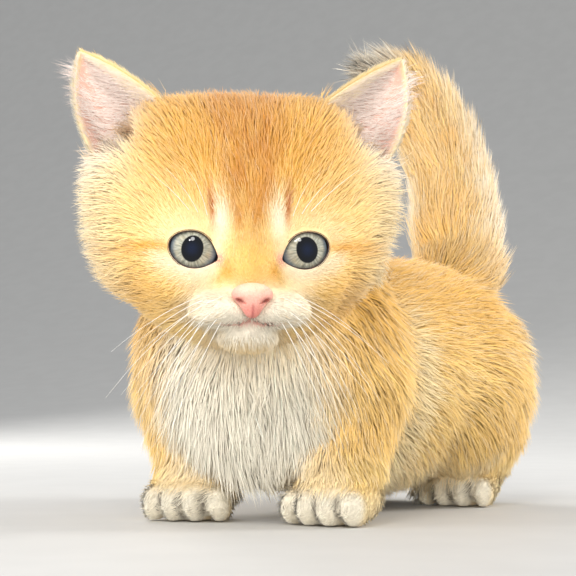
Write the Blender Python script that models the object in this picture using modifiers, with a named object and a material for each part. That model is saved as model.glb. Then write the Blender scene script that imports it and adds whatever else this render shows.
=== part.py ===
"""A munchkin kitten standing on four short legs, as a still, life-size model.

The frame is in metres. The kitten faces -Y, its left side is +X and its paws stand on Z = 0.
Its head is turned to its left and its tail stands up, curling forward at the tip.
Flesh and short coat are built as one body of melted ellipsoids and limbs, which thin cuts then part
into torso, neck, legs and paws. The longer coat of cheeks, bib, breeches and tail is made of locks.
"""

import math
import random
from dataclasses import dataclass

import bmesh
import bpy
import numpy as np
from mathutils import Euler, Matrix, Vector

KITTEN = "munchkin_kitten"
CUTTERS = "cutters"

# Driving dimensions, in metres, with the coat
FORE_STANCE = 0.0215
HIND_STANCE = 0.0200
WHEELBASE = 0.0920
FORE_SHIFT = -0.0047
HIND_SHIFT = 0.0005
PAW_HEIGHT = 0.0125
HEAD_CENTRE = Vector((-0.0017, -0.0195, 0.0782))
HEAD_TURN = math.radians(31.0)
HEAD_NOD = math.radians(7.0)
EYE_SPREAD = 0.0128
EYE_PLACE = Vector((EYE_SPREAD, -0.0190, -0.0060))
EYE_RADIUS = 0.0078
LID_THICKNESS = 0.0011
EYE_OPENING = (0.0062, 0.0044, 0.0048)
EYE_SLANT = math.radians(13.0)
EYE_YAW = math.radians(9.0)
LID_CORNER = 0.18
NOSTRIL_PLACE = (0.0033, -0.0376, -0.0180)
NOSTRIL_RADII = (0.0015, 0.0014, 0.0006)
NOSTRIL_TILT = math.radians(-28.0)
EAR_HOLLOW = (0.0300, 0.0, 0.0205)
EAR_HOLLOW_RADII = (0.0062, 0.0125, 0.0068)
EAR_HOLLOW_TILT = math.radians(35.0)
TOE_PITCH = 0.0062
TOE_RADII = (0.0034, 0.0058, 0.0054)
TOE_REACH = 0.0155
TOE_SETBACK = 0.0058
FORE_TOE_LINE = -0.0135
HIND_TOE_LINE = -0.0130
FORE_SPLAY = math.radians(-9.0)
HIND_SPLAY = math.radians(-4.0)
GAP = 0.00035

# The line of the mouth from its middle to its left corner: x and z in the head's frame
MOUTH_DEPTH = -0.0330
MOUTH_LINE = (
    (-0.0003, -0.0236),
    (0.0010, -0.0242),
    (0.0024, -0.0247),
    (0.0038, -0.0249),
    (0.0052, -0.0250),
    (0.0064, -0.0254),
)
MOUTH_WIDTH = 0.0012
PHILTRUM_WIDTH = 0.0010
PHILTRUM_TOP = (0.0, -0.0370, -0.0205)
PHILTRUM_DEPTH = -0.0350

# The locks: lengths, widths, how far they stand off, the heights of their rows, where they bend,
# how far they sway and vary, and their thickness as a share of their width
CHEEK_LOCK = 0.0125
CHEEK_SIZES = (0.0115, 0.0034)
CHEEK_ROWS = (0.0150, 0.0070, -0.0010, -0.0090, -0.0165)
BIB_LOCK = 0.0185
BIB_SIZES = (0.0130, 0.0040)
BIB_ROWS = (0.0540, 0.0440, 0.0340, 0.0240)
BIB_PITCH = 0.0125
BREECHES_LOCK = 0.0165
BREECHES_SIZES = (0.0145, 0.0032)
BREECHES_ROWS = (0.0630, 0.0500, 0.0370, 0.0240)
BREECHES_PITCH = math.radians(25.0)
TAIL_LOCK = 0.0185
TAIL_REACH = 0.0062
ROW_JITTER = 0.001
LOCK_BENDS = (-0.17, 0.18)
LOCK_SWAY = 0.22
LOCK_SPREAD = 0.12
LOCK_FLATNESS = 0.375

# The grain that each form is skinned at, and about how many triangles it keeps
HEAD_GRAIN = (0.0012, 1100)
SEAT_TRIANGLES = 560
NOSE_GRAIN = (0.0004, 100)
PAW_GRAIN = (0.0009, 660)
BODY_GRAIN = (0.0016, 2400)
TAIL_GRAIN = (0.0013, 360)

# Finish of each material: colour, roughness
CREAM_COAT = ("cream_coat", (0.86, 0.60, 0.30, 1.0), 0.85)
WHITE_COAT = ("white_coat", (0.92, 0.85, 0.72, 1.0), 0.85)
PINK_SKIN = ("pink_skin", (0.85, 0.45, 0.40, 1.0), 0.55)
EYE_GLASS = ("eye_glass", (0.30, 0.32, 0.28, 1.0), 0.05)

SIDES = {"left": 1.0, "right": -1.0}
HEAD_MATRIX = (
    Matrix.Translation(HEAD_CENTRE)
    @ Matrix.Rotation(HEAD_TURN, 4, "Z")
    @ Matrix.Rotation(HEAD_NOD, 4, "X")
)


@dataclass(frozen=True)
class Ball:
    """An ellipsoid of flesh: centre, half sizes, how widely it melts into the rest, and its turn."""

    centre: tuple
    radii: tuple
    melt: float = 0.006
    turn: tuple = (0.0, 0.0, 0.0)

    def matrix(self):
        """The matrix that takes a unit ball to this one."""
        return (
            Matrix.Translation(self.centre)
            @ Euler(self.turn).to_matrix().to_4x4()
            @ Matrix.Diagonal((*self.radii, 1.0))
        )

    def gap(self, points):
        """Distance from each point to the surface, negative inside."""
        turn = np.array(Euler(self.turn).to_matrix())
        local = (points - np.array(self.centre)) @ turn
        radii = np.array(self.radii)
        reach = np.linalg.norm(local / radii, axis=1)
        slope = np.linalg.norm(local / radii**2, axis=1)
        return reach * (reach - 1.0) / np.maximum(slope, 1e-6)

    def balls(self):
        """The unit-ball matrices that fill this form."""
        return [self.matrix()]


@dataclass(frozen=True)
class Limb:
    """A round limb through (x, y, z, radius) stations."""

    stations: tuple
    melt: float = 0.006

    def gap(self, points):
        """Distance from each point to the surface, negative inside."""
        nearest = np.full(len(points), 1.0)
        for start, end in zip(self.stations, self.stations[1:]):
            a, b = np.array(start[:3]), np.array(end[:3])
            along = b - a
            share = np.clip((points - a) @ along / (along @ along), 0.0, 1.0)
            radius = start[3] + (end[3] - start[3]) * share
            away = np.linalg.norm(points - a - share[:, None] * along, axis=1)
            nearest = np.minimum(nearest, away - radius)
        return nearest

    def balls(self):
        """The unit-ball matrices that fill this form."""
        found = []
        for start, end in zip(self.stations, self.stations[1:]):
            length = math.dist(start[:3], end[:3])
            steps = max(2, math.ceil(length / (0.3 * min(start[3], end[3]))))
            for step in range(steps + 1):
                x, y, z, radius = (
                    a + (b - a) * step / steps for a, b in zip(start, end)
                )
                found.append(
                    Matrix.Translation((x, y, z)) @ Matrix.Scale(radius, 4)
                )
        return found


@dataclass(frozen=True)
class Flesh:
    """Forms melted into one body."""

    forms: tuple

    def gap(self, points):
        """Distance from each point to the melted surface, negative inside."""
        total = self.forms[0].gap(points)
        for form in self.forms[1:]:
            other = form.gap(points)
            share = np.clip(0.5 + 0.5 * (other - total) / form.melt, 0.0, 1.0)
            total = other + (total - other) * share - form.melt * share * (1.0 - share)
        return total

    def slope(self, points, step=0.0002):
        """Gradient of the distance at each point."""
        columns = []
        for axis in np.eye(3) * step:
            columns.append(self.gap(points + axis) - self.gap(points - axis))
        return np.stack(columns, axis=1) / (2.0 * step)

    def drawn(self, points, rounds=4):
        """The points moved onto the surface."""
        for _ in range(rounds):
            slope = self.slope(points)
            steep = np.maximum((slope**2).sum(axis=1), 0.25)
            points = points - slope * (self.gap(points) / steep)[:, None]
        return points

    def place(self, point):
        """The nearest point of the surface and its outward direction, as vectors."""
        drawn = self.drawn(np.array([point], float), rounds=6)
        slope = self.slope(drawn)[0]
        return Vector(drawn[0]), Vector(slope).normalized()


def mirrored(make):
    """The forms that make(side) gives for both sides."""
    return [form for side in SIDES.values() for form in make(side)]


# Forms of the head, in its own frame: face to -Y, its centre at the origin
def cheek(side):
    """The temple and round cheek of one side, and the bone below its eye."""
    return [
        Ball((side * 0.0186, 0.0060, 0.0140), (0.0172, 0.0230, 0.0165), 0.010),
        Ball((side * 0.0162, 0.0040, -0.0040), (0.0185, 0.0235, 0.0205), 0.010),
        Ball((side * 0.0125, -0.0160, -0.0140), (0.0115, 0.0105, 0.0080), 0.006),
        Ball((side * EYE_SPREAD, EYE_PLACE.y, EYE_PLACE.z), (0.0084,) * 3, 0.0035),
    ]


def whisker_pad(side):
    """The whisker pad of one side."""
    return [Ball((side * 0.0064, -0.0275, -0.0206), (0.0084, 0.0082, 0.0050), 0.0028)]


HEAD_FLESH = Flesh(
    (
        Ball((0.0, 0.0060, 0.0080), (0.0362, 0.0315, 0.0262)),
        Ball((0.0, -0.0020, -0.0030), (0.0325, 0.0245, 0.0240), 0.008),
        *mirrored(cheek),
        Ball((0.0, -0.0235, -0.0105), (0.0070, 0.0110, 0.0085), 0.007),
        Ball((0.0, 0.0, -0.0190), (0.0225, 0.0210, 0.0135), 0.008),
        *mirrored(whisker_pad),
        Ball((0.0, -0.0245, -0.0268), (0.0078, 0.0078, 0.0050), 0.0018),
    )
)
NOSE_FLESH = Flesh(
    (
        Ball((0.0, -0.0350, -0.0166), (0.0050, 0.0030, 0.0028)),
        Ball((0.0, -0.0352, -0.0193), (0.0024, 0.0024, 0.0030), 0.0022),
    )
)


# Forms of the body, in the model's frame
def toes(side, x, toe_line, splay):
    """The four toes of a paw, whose middle ones end at toe_line."""
    turn = Euler((0.0, 0.0, side * splay))
    forms = []
    for spot in (-1.5, -0.5, 0.5, 1.5):
        setback = TOE_SETBACK + 0.0010 * (spot * spot - 0.25)
        offset = Vector((spot * TOE_PITCH, setback - TOE_REACH, 0.0))
        offset.rotate(turn)
        centre = (x + offset.x, toe_line + TOE_REACH + offset.y, 0.0050)
        forms.append(Ball(centre, TOE_RADII, 0.0010, tuple(turn)))
    return forms


def foreleg(side):
    """The short foreleg of one side, down to its paw without toes."""
    x = side * FORE_STANCE + FORE_SHIFT
    leg = Limb(
        (
            (side * 0.0225 - 0.0070, 0.0090, 0.0350, 0.0155),
            (x, 0.0030, 0.0180, 0.0122),
            (x, 0.0010, 0.0100, 0.0108),
        ),
        0.009,
    )
    palm = Ball((x, 0.0000, 0.0068), (0.0112, 0.0125, 0.0076), 0.004)
    return [leg, palm]


def hindleg(side):
    """The thigh, hock and hind paw of one side, without toes."""
    x = side * HIND_STANCE + HIND_SHIFT
    thigh = Ball((x + side * 0.0030, 0.0920, 0.0330), (0.0165, 0.0260, 0.0240), 0.012)
    shank = Limb(
        (
            (x, 0.1020, 0.0220, 0.0130),
            (x, 0.1070, 0.0125, 0.0098),
            (x, 0.0940, 0.0080, 0.0090),
        ),
        0.008,
    )
    sole = Ball((x, WHEELBASE, 0.0066), (0.0112, 0.0125, 0.0074), 0.004)
    return [thigh, shank, sole]


BODY_FLESH = Flesh(
    (
        Ball((-0.0090, 0.0085, 0.0445), (0.0390, 0.0225, 0.0345)),
        Ball((-0.0040, 0.0520, 0.0415), (0.0370, 0.0420, 0.0350), 0.026),
        Ball((0.0020, 0.0950, 0.0420), (0.0355, 0.0350, 0.0350), 0.026),
        Limb(((-0.0070, 0.0060, 0.0600, 0.0270), (-0.0040, -0.0070, 0.0740, 0.0250)), 0.012),
        Ball((-0.0070, -0.0020, 0.0430), (0.0280, 0.0120, 0.0260), 0.010),
        Ball((-0.0030, 0.0520, 0.0225), (0.0230, 0.0400, 0.0150), 0.010),
        *mirrored(foreleg),
        *mirrored(hindleg),
    )
)

# The tail's centre line from inside the rump to the tip: x, y, z, core radius
TAIL_LINE = (
    (0.0080, 0.1120, 0.0640, 0.0120),
    (0.0087, 0.1220, 0.0760, 0.0115),
    (0.0070, 0.1270, 0.0900, 0.0108),
    (0.0050, 0.1290, 0.1040, 0.0100),
    (0.0022, 0.1280, 0.1180, 0.0092),
    (-0.0020, 0.1240, 0.1300, 0.0082),
    (-0.0055, 0.1185, 0.1378, 0.0068),
    (-0.0088, 0.1120, 0.1420, 0.0052),
    (-0.0118, 0.1055, 0.1430, 0.0036),
)
TAIL_FLESH = Flesh((Limb(TAIL_LINE),))


def new_object(name, mesh):
    """An object of this mesh in the kitten's collection."""
    obj = bpy.data.objects.new(name, mesh)
    bpy.data.collections[KITTEN].objects.link(obj)
    return obj


def new_cutter(name, mesh):
    """An object that only cuts or joins others, in the cutters' collection."""
    obj = bpy.data.objects.new(name, mesh)
    obj.hide_render = True
    obj.display_type = "WIRE"
    bpy.data.collections[CUTTERS].objects.link(obj)
    return obj


def mesh_of(bm):
    """The bmesh as a mesh, and frees it."""
    mesh = bpy.data.meshes.new("shape")
    bm.to_mesh(mesh)
    bm.free()
    return mesh


def settle(obj):
    """Applies the object's modifiers."""
    graph = bpy.context.evaluated_depsgraph_get()
    mesh = bpy.data.meshes.new_from_object(obj.evaluated_get(graph))
    obj.modifiers.clear()
    obj.data = mesh
    return obj


def points_of(mesh):
    """The mesh's points as rows."""
    flat = np.empty(len(mesh.vertices) * 3)
    mesh.vertices.foreach_get("co", flat)
    return flat.reshape(-1, 3)


def move_points(mesh, points):
    """Gives the mesh these points."""
    mesh.vertices.foreach_set("co", points.ravel())
    mesh.update()


def fleshed(name, flesh, voxel, triangles):
    """A closed skin round melted forms, thinned to about this many triangles."""
    bm = bmesh.new()
    for form in flesh.forms:
        for matrix in form.balls():
            bmesh.ops.create_uvsphere(
                bm, u_segments=24, v_segments=14, radius=1.0, matrix=matrix
            )
    obj = new_object(name, mesh_of(bm))
    remesh = obj.modifiers.new("Remesh", "REMESH")
    remesh.mode = "VOXEL"
    remesh.voxel_size = voxel
    settle(obj)
    for _ in range(2):
        move_points(obj.data, flesh.drawn(points_of(obj.data)))
        smooth = obj.modifiers.new("Smooth", "SMOOTH")
        smooth.factor = 0.5
        smooth.iterations = 3
        settle(obj)
    move_points(obj.data, flesh.drawn(points_of(obj.data), rounds=2))
    return thinned(obj, triangles)


def thinned(obj, triangles):
    """The object with about this many triangles."""
    decimate = obj.modifiers.new("Decimate", "DECIMATE")
    decimate.ratio = triangles / sum(len(p.vertices) - 2 for p in obj.data.polygons)
    decimate.use_collapse_triangulate = True
    return settle(obj)


def swollen(obj, by=GAP):
    """A copy of the object whose surface stands this much proud."""
    copy = new_cutter(obj.name + "_swollen", obj.data.copy())
    normals = np.array([normal.vector for normal in copy.data.vertex_normals])
    move_points(copy.data, points_of(copy.data) + normals * by)
    return copy


def combine(obj, other, operation, solver="EXACT"):
    """Joins, cuts or crosses the object with another one."""
    boolean = obj.modifiers.new(operation, "BOOLEAN")
    boolean.operation = operation
    boolean.object = other
    boolean.solver = solver
    return settle(obj)


def cut(obj, *cutters, solver="EXACT"):
    """Cuts the cutters from the object and removes them."""
    for cutter in cutters:
        combine(obj, cutter, "DIFFERENCE", solver)
        bpy.data.objects.remove(cutter)
    return obj


def ball(centre, radii, segments=20, rings=12, turn=None):
    """The mesh of a closed ball or ellipsoid."""
    bm = bmesh.new()
    matrix = Matrix.Translation(centre) @ (turn or Matrix.Identity(4))
    matrix = matrix @ Matrix.Diagonal((*radii, 1.0))
    bmesh.ops.create_uvsphere(
        bm, u_segments=segments, v_segments=rings, radius=1.0, matrix=matrix
    )
    return mesh_of(bm)


def hull_of_balls(balls, extra=0.0):
    """The convex solid round (centre, radius) balls, grown by extra."""
    bm = bmesh.new()
    for centre, radius in balls:
        matrix = Matrix.Translation(centre) @ Matrix.Scale(radius + extra, 4)
        bmesh.ops.create_icosphere(bm, subdivisions=2, radius=1.0, matrix=matrix)
    bmesh.ops.delete(bm, geom=bm.edges, context="EDGES_FACES")
    bmesh.ops.convex_hull(bm, input=bm.verts)
    loose = [vert for vert in bm.verts if not vert.link_faces]
    bmesh.ops.delete(bm, geom=loose, context="VERTS")
    bmesh.ops.recalc_face_normals(bm, faces=bm.faces)
    return new_cutter("hull", mesh_of(bm))


def side_of_plane(point, normal, size=0.6):
    """A great cube whose face passes through point and whose body lies on the normal's side."""
    bm = bmesh.new()
    turn = Vector(normal).to_track_quat("Z", "Y").to_matrix().to_4x4()
    centre = Vector(point) + Vector(normal).normalized() * (size / 2)
    bmesh.ops.create_cube(bm, size=size, matrix=Matrix.Translation(centre) @ turn)
    return new_cutter("side", mesh_of(bm))


def largest_body(obj):
    """Keeps only the largest closed surface of the object."""
    bm = bmesh.new()
    bm.from_mesh(obj.data)
    bm.faces.ensure_lookup_table()
    unseen, bodies = set(bm.faces), []
    while unseen:
        body, front = set(), [unseen.pop()]
        while front:
            face = front.pop()
            body.add(face)
            for edge in face.edges:
                for near in edge.link_faces:
                    if near in unseen:
                        unseen.discard(near)
                        front.append(near)
        bodies.append(body)
    keep = max(bodies, key=lambda body: sum(face.calc_area() for face in body))
    spare = [face for face in bm.faces if face not in keep]
    bmesh.ops.delete(bm, geom=spare, context="FACES")
    loose = [vert for vert in bm.verts if not vert.link_faces]
    bmesh.ops.delete(bm, geom=loose, context="VERTS")
    idle = [vert for vert in bm.verts if len(vert.link_edges) == 2]
    bmesh.ops.dissolve_verts(bm, verts=idle)
    bmesh.ops.triangulate(bm, faces=bm.faces)
    bm.to_mesh(obj.data)
    bm.free()
    return obj


def head_object(name, flesh, voxel, triangles):
    """A fleshed object of the head, set in the model's frame."""
    obj = fleshed(name, flesh, voxel, triangles)
    obj.data.transform(HEAD_MATRIX)
    return obj


def eye_axis(side):
    """The matrix of one eye: its centre, and -Y along its line of sight."""
    place = Vector((side * EYE_PLACE.x, EYE_PLACE.y, EYE_PLACE.z))
    outward = Matrix.Rotation(side * EYE_YAW, 4, "Z")
    slant = Matrix.Rotation(-side * EYE_SLANT, 4, "Y")
    return HEAD_MATRIX @ Matrix.Translation(place) @ outward @ slant


def lid_opening(side, points=22):
    """The cutter of one eye's opening: an almond drawn forward from the ball's centre."""
    half_width, up, down = EYE_OPENING
    bm = bmesh.new()
    ring = []
    for index in range(points):
        angle = math.tau * index / points
        lift = up if math.sin(angle) > 0 else down
        across = half_width * math.cos(angle)
        height = lift * math.sin(angle) * (1.0 - LID_CORNER * math.cos(angle) ** 2)
        ring.append(bm.verts.new((across, 0.0, height)))
    face = bm.faces.new(ring)
    grown = bmesh.ops.extrude_face_region(bm, geom=[face])
    front = [part for part in grown["geom"] if isinstance(part, bmesh.types.BMVert)]
    bmesh.ops.translate(bm, verts=front, vec=(0.0, -0.03, 0.0))
    bmesh.ops.recalc_face_normals(bm, faces=bm.faces)
    bmesh.ops.transform(bm, matrix=eye_axis(side), verts=bm.verts)
    return new_cutter("opening", mesh_of(bm))


def groove(path, radius):
    """A thin round cutter along head points, each laid on the head's surface."""
    curve = bpy.data.curves.new("groove", "CURVE")
    curve.dimensions = "3D"
    curve.bevel_depth = radius
    curve.bevel_resolution = 1
    curve.use_fill_caps = True
    spline = curve.splines.new("POLY")
    spline.points.add(len(path) - 1)
    for spot, point in zip(spline.points, path):
        laid = HEAD_FLESH.place(point)[0]
        spot.co = (*(HEAD_MATRIX @ laid), 1.0)
    guide = new_cutter("guide", curve)
    graph = bpy.context.evaluated_depsgraph_get()
    mesh = bpy.data.meshes.new_from_object(guide.evaluated_get(graph))
    bpy.data.objects.remove(guide)
    bm = bmesh.new()
    bm.from_mesh(mesh)
    bmesh.ops.remove_doubles(bm, verts=bm.verts, dist=1e-6)
    return new_cutter("groove", mesh_of(bm))


def ear_hollow(side):
    """The cutter of the hollow that one ear opens into, at its foot."""
    x, y, z = EAR_HOLLOW
    centre = HEAD_MATRIX @ Vector((side * x, y, z))
    turn = HEAD_MATRIX.to_3x3().to_4x4() @ Matrix.Rotation(side * EAR_HOLLOW_TILT, 4, "Y")
    return new_cutter("hollow", ball(centre, EAR_HOLLOW_RADII, 14, 8, turn))


def make_head():
    """The head with eyes, lids, nose and mouth; returns head and the pieces set in it."""
    head = head_object("head", HEAD_FLESH, *HEAD_GRAIN)
    core = thinned(new_cutter("core", head.data.copy()), SEAT_TRIANGLES)
    seat = swollen(core, 2.0 * GAP)
    bpy.data.objects.remove(core)
    eyes = []
    for side_name, side in SIDES.items():
        matrix = eye_axis(side)
        lid_radius = EYE_RADIUS + LID_THICKNESS
        lid = new_cutter("lid", ball(matrix.translation, (lid_radius,) * 3))
        combine(head, lid, "UNION")
        bpy.data.objects.remove(lid)
        socket = new_cutter("socket", ball(matrix.translation, (EYE_RADIUS + GAP,) * 3))
        cut(head, socket, lid_opening(side))
        eyeball = ball(matrix.translation, (EYE_RADIUS,) * 3, 16, 10)
        eyes.append(new_object("eye_" + side_name, eyeball))
        cut(head, ear_hollow(side))
    mouth = [(x, MOUTH_DEPTH, z) for x, z in MOUTH_LINE]
    philtrum = [PHILTRUM_TOP, (0.0, PHILTRUM_DEPTH, MOUTH_LINE[0][1])]
    mirror = [(-x, y, z) for x, y, z in mouth]
    lines = [groove(line, MOUTH_WIDTH / 2) for line in (mouth, mirror)]
    lines.append(groove(philtrum, PHILTRUM_WIDTH / 2))
    cut(head, *lines, solver="MANIFOLD")
    return largest_body(head), eyes, seat


def make_nose(head):
    """The nose leather with its nostrils, seated on the muzzle."""
    nose = head_object("nose", NOSE_FLESH, *NOSE_GRAIN)
    x, y, z = NOSTRIL_PLACE
    for side in SIDES.values():
        centre = HEAD_MATRIX @ Vector((side * x, y, z))
        turn = HEAD_MATRIX.to_3x3().to_4x4() @ Matrix.Rotation(side * NOSTRIL_TILT, 4, "Y")
        nostril = new_cutter("nostril", ball(centre, NOSTRIL_RADII, 10, 6, turn))
        cut(nose, nostril)
    return largest_body(cut(nose, swollen(head)))


@dataclass(frozen=True)
class Ear:
    """The sizes of one ear, in the head's frame, for the left side."""

    inner_root: tuple = (0.0165, 0.0055, 0.0275)
    outer_root: tuple = (0.0350, 0.0075, 0.0120)
    tip: tuple = (0.0425, 0.0050, 0.0445)
    inner_bulge: float = 0.0016
    outer_bulge: float = 0.0042
    cup_depth: float = 0.0085
    thickness: float = 0.0020
    columns: int = 9
    rows: int = 9
    root_depth: float = 0.26

    def edge(self, root, bulge, up):
        """A point of one edge, from its root at 0 to the tip at 1."""
        root, tip = Vector(root), Vector(self.tip)
        away = (tip - root).cross(Vector((0.0, 1.0, 0.0))).normalized()
        return root.lerp(tip, up) + away * (bulge * 4.0 * up * (1.0 - up))

    def point(self, across, up, side):
        """A point of the sheet: across from -1 inside to 1 outside, up from the root to 1 at the tip."""
        rise = max(0.0, up)
        shown = min(rise, 0.985)
        inner = self.edge(self.inner_root, self.inner_bulge, shown)
        outer = self.edge(self.outer_root, -self.outer_bulge, shown)
        spot = inner.lerp(outer, (across + 1.0) / 2)
        down = (Vector(self.tip) - (Vector(self.inner_root) + Vector(self.outer_root)) / 2) * (up - rise)
        spot += down
        cup = self.cup_depth * (1.0 - across**2) * (1.0 - rise) ** 0.7
        fold = 0.0030 * max(0.0, across) ** 2 * (1.0 - rise)
        spot.y += cup - fold - 0.0030 * math.sin(math.pi * rise)
        spot.x *= side
        return spot


def make_ear(side_name, head):
    """One cupped ear, seated on the head."""
    ear, side = Ear(), SIDES[side_name]
    bm = bmesh.new()
    bmesh.ops.create_grid(bm, x_segments=ear.columns, y_segments=ear.rows, size=1.0)
    for vert in bm.verts:
        up = (vert.co.y + 1.0) / 2 * (1.0 + ear.root_depth) - ear.root_depth
        vert.co = ear.point(vert.co.x, up, side)
    bmesh.ops.transform(bm, matrix=HEAD_MATRIX, verts=bm.verts)
    bmesh.ops.recalc_face_normals(bm, faces=bm.faces)
    obj = new_object("ear_" + side_name, mesh_of(bm))
    shell = obj.modifiers.new("Solidify", "SOLIDIFY")
    shell.thickness = ear.thickness
    shell.offset = 0.0
    settle(obj)
    return largest_body(cut(obj, swollen(head)))


@dataclass(frozen=True)
class Lock:
    """One flat, tapered lock of coat: where it roots, which way it lies and its sizes."""

    root: Vector
    out: Vector
    lie: Vector
    length: float
    width: float
    thickness: float
    stand: float
    sink: float = 0.0030

    def spine(self, share):
        """The lock's middle line, from its sunk root to its tip."""
        along = (self.lie - self.out * self.lie.dot(self.out)).normalized()
        start = self.root - self.out * self.sink
        knee = self.root + along * (0.40 * self.length) + self.out * (1.05 * self.stand)
        tip = self.root + along * self.length + self.out * self.stand
        return start.lerp(knee, share).lerp(knee.lerp(tip, share), share)

    def build(self):
        """The lock as a closed mesh: a four-sided cone, flattened and bent along its lie."""
        bm = bmesh.new()
        bmesh.ops.create_cone(bm, cap_ends=True, segments=4, radius1=1.0, radius2=0.0, depth=1.0)
        for height in LOCK_BENDS:
            geom = bm.verts[:] + bm.edges[:] + bm.faces[:]
            bmesh.ops.bisect_plane(bm, geom=geom, plane_co=(0, 0, height), plane_no=(0, 0, 1))
        across = self.lie.cross(self.out).normalized()
        for vert in bm.verts:
            share = vert.co.z + 0.5
            flat = across * (vert.co.x * (0.80 + 1.70 * share) * self.width / 2)
            thick = self.out * (vert.co.y * (0.95 + 0.70 * share) * self.thickness / 2)
            vert.co = self.spine(share) + flat + thick
        bm.normal_update()
        bmesh.ops.recalc_face_normals(bm, faces=bm.faces)
        return mesh_of(bm)


def locks_on(flesh, guesses, rng, matrix=None):
    """Locks rooted on the flesh; a guess is (point, lie, length, width, stand)."""
    drawn = flesh.drawn(np.array([guess[0] for guess in guesses], float), rounds=8)
    slopes = flesh.slope(drawn)
    locks = []
    for point, slope, (_, lie, length, width, stand) in zip(drawn, slopes, guesses):
        root, out, lie = Vector(point), Vector(slope).normalized(), Vector(lie)
        if matrix:
            turn = matrix.to_3x3()
            root, out, lie = matrix @ root, turn @ out, turn @ lie
        sway = Matrix.Rotation(rng.uniform(-LOCK_SWAY, LOCK_SWAY), 3, out)
        size = rng.uniform(1.0 - LOCK_SPREAD, 1.0 + LOCK_SPREAD)
        thickness = LOCK_FLATNESS * width
        locks.append(Lock(root, out, sway @ lie, length * size, width, thickness, stand * size))
    return locks


def cheek_ruff(rng):
    """Guesses for the long hair of both cheeks, in the head's frame."""
    guesses = []
    for side in SIDES.values():
        for row, height in enumerate(CHEEK_ROWS):
            for column in range(3 - row % 2):
                back = -0.0120 + 0.0110 * column + 0.0055 * (row % 2)
                spot = (side * 0.045, back, height + rng.uniform(-ROW_JITTER, ROW_JITTER))
                lie = (side * 0.75, 0.62, 0.06 - 0.15 * row)
                guesses.append((spot, lie, CHEEK_LOCK * (1.0 + 0.15 * column), *CHEEK_SIZES))
    return guesses


def bib(rng):
    """Guesses for the long hair of the chest, hanging from the chin to between the paws."""
    guesses = []
    for row, height in enumerate(BIB_ROWS):
        count = 4 + row % 2
        for column in range(count):
            across = BIB_PITCH * (column - (count - 1) / 2)
            spot = (-0.0070 + across, -0.0300, height + rng.uniform(-ROW_JITTER, ROW_JITTER))
            lie = (0.25 * across / 0.012, -0.20, -1.0)
            guesses.append((spot, lie, BIB_LOCK, *BIB_SIZES))
    return guesses


def breeches(rng):
    """Guesses for the longer hair of the rump's sides and back."""
    guesses = []
    for row, height in enumerate(BREECHES_ROWS):
        count = 6 - row % 2
        for column in range(count):
            angle = BREECHES_PITCH * (column - (count - 1) / 2)
            spot = (
                0.0020 + 0.050 * math.sin(angle),
                0.0950 + 0.050 * math.cos(angle),
                height + rng.uniform(-ROW_JITTER, ROW_JITTER),
            )
            lie = (0.6 * math.sin(angle), 0.36, -0.93)
            guesses.append((spot, lie, BREECHES_LOCK, *BREECHES_SIZES))
    return guesses


def tail_line(share):
    """A point of the tail's centre line, its direction and core radius, from root 0 to tip 1."""
    steps = len(TAIL_LINE) - 1
    spot = min(share * steps, steps - 1e-6)
    start, end = TAIL_LINE[int(spot)], TAIL_LINE[int(spot) + 1]
    x, y, z, radius = (a + (b - a) * (spot - int(spot)) for a, b in zip(start, end))
    return Vector((x, y, z)), (Vector(end[:3]) - Vector(start[:3])).normalized(), radius


def tail_coat(rng, first, last, rings):
    """Guesses for the brush of the tail between two shares of its line."""
    guesses = []
    for ring in range(rings):
        share = first + (last - first) * ring / max(rings - 1, 1)
        centre, along, radius = tail_line(share)
        side = along.cross(Vector((1.0, 0.0, 0.0))).normalized()
        count = 6 if radius > 0.006 else 4
        reach = TAIL_REACH * (0.55 + 0.45 * min(radius / 0.009, 1.0))
        for column in range(count):
            angle = math.tau * (column + 0.5 * (ring % 2)) / count + rng.uniform(-0.1, 0.1)
            around = Matrix.Rotation(angle, 3, along) @ side
            spot = centre + around * radius
            width = 1.20 * math.tau * radius / count
            length = TAIL_LOCK * (1.0 - 0.35 * max(0.0, share - 0.6) / 0.4)
            guesses.append((spot, along + 0.1 * around, length, width, reach))
    return guesses


def grow(obj, locks, neighbours=()):
    """Trims the locks clear of the neighbours and fuses them to the object."""
    others = bpy.data.collections.new("locks")
    bpy.data.collections[CUTTERS].children.link(others)
    coat = new_cutter("coat", locks[0].build())
    for lock in locks[1:]:
        others.objects.link(bpy.data.objects.new("lock", lock.build()))
    union = coat.modifiers.new("Union", "BOOLEAN")
    union.operation = "UNION"
    union.operand_type = "COLLECTION"
    union.collection = others
    union.solver = "MANIFOLD"
    settle(coat)
    for piece in list(others.objects):
        bpy.data.objects.remove(piece)
    bpy.data.collections.remove(others)
    cut(coat, *[swollen(near) for near in neighbours], solver="MANIFOLD")
    combine(obj, coat, "UNION", "MANIFOLD")
    bpy.data.objects.remove(coat)
    return largest_body(obj)


# Where the thin cuts run between body and limbs
def leg_balls(side_name, fore):
    """The balls whose hull parts one leg from the torso."""
    side = SIDES[side_name]
    if fore:
        x = side * FORE_STANCE + FORE_SHIFT
        return [
            (Vector((side * 0.0340 - 0.0090, 0.0080, 0.0380)), 0.0165),
            (Vector((side * 0.0340 - 0.0090, -0.0120, 0.0340)), 0.0140),
            (Vector((x + side * 0.002, 0.0, 0.0160)), 0.0170),
            (Vector((x, -0.0010, -0.0060)), 0.0190),
        ]
    x = side * HIND_STANCE + HIND_SHIFT
    return [
        (Vector((x + side * 0.0150, 0.0930, 0.0330)), 0.0205),
        (Vector((x, 0.0980, 0.0160)), 0.0185),
        (Vector((x, 0.0930, -0.0040)), 0.0190),
        (Vector((x, 0.1020, 0.0040)), 0.0180),
    ]


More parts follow.
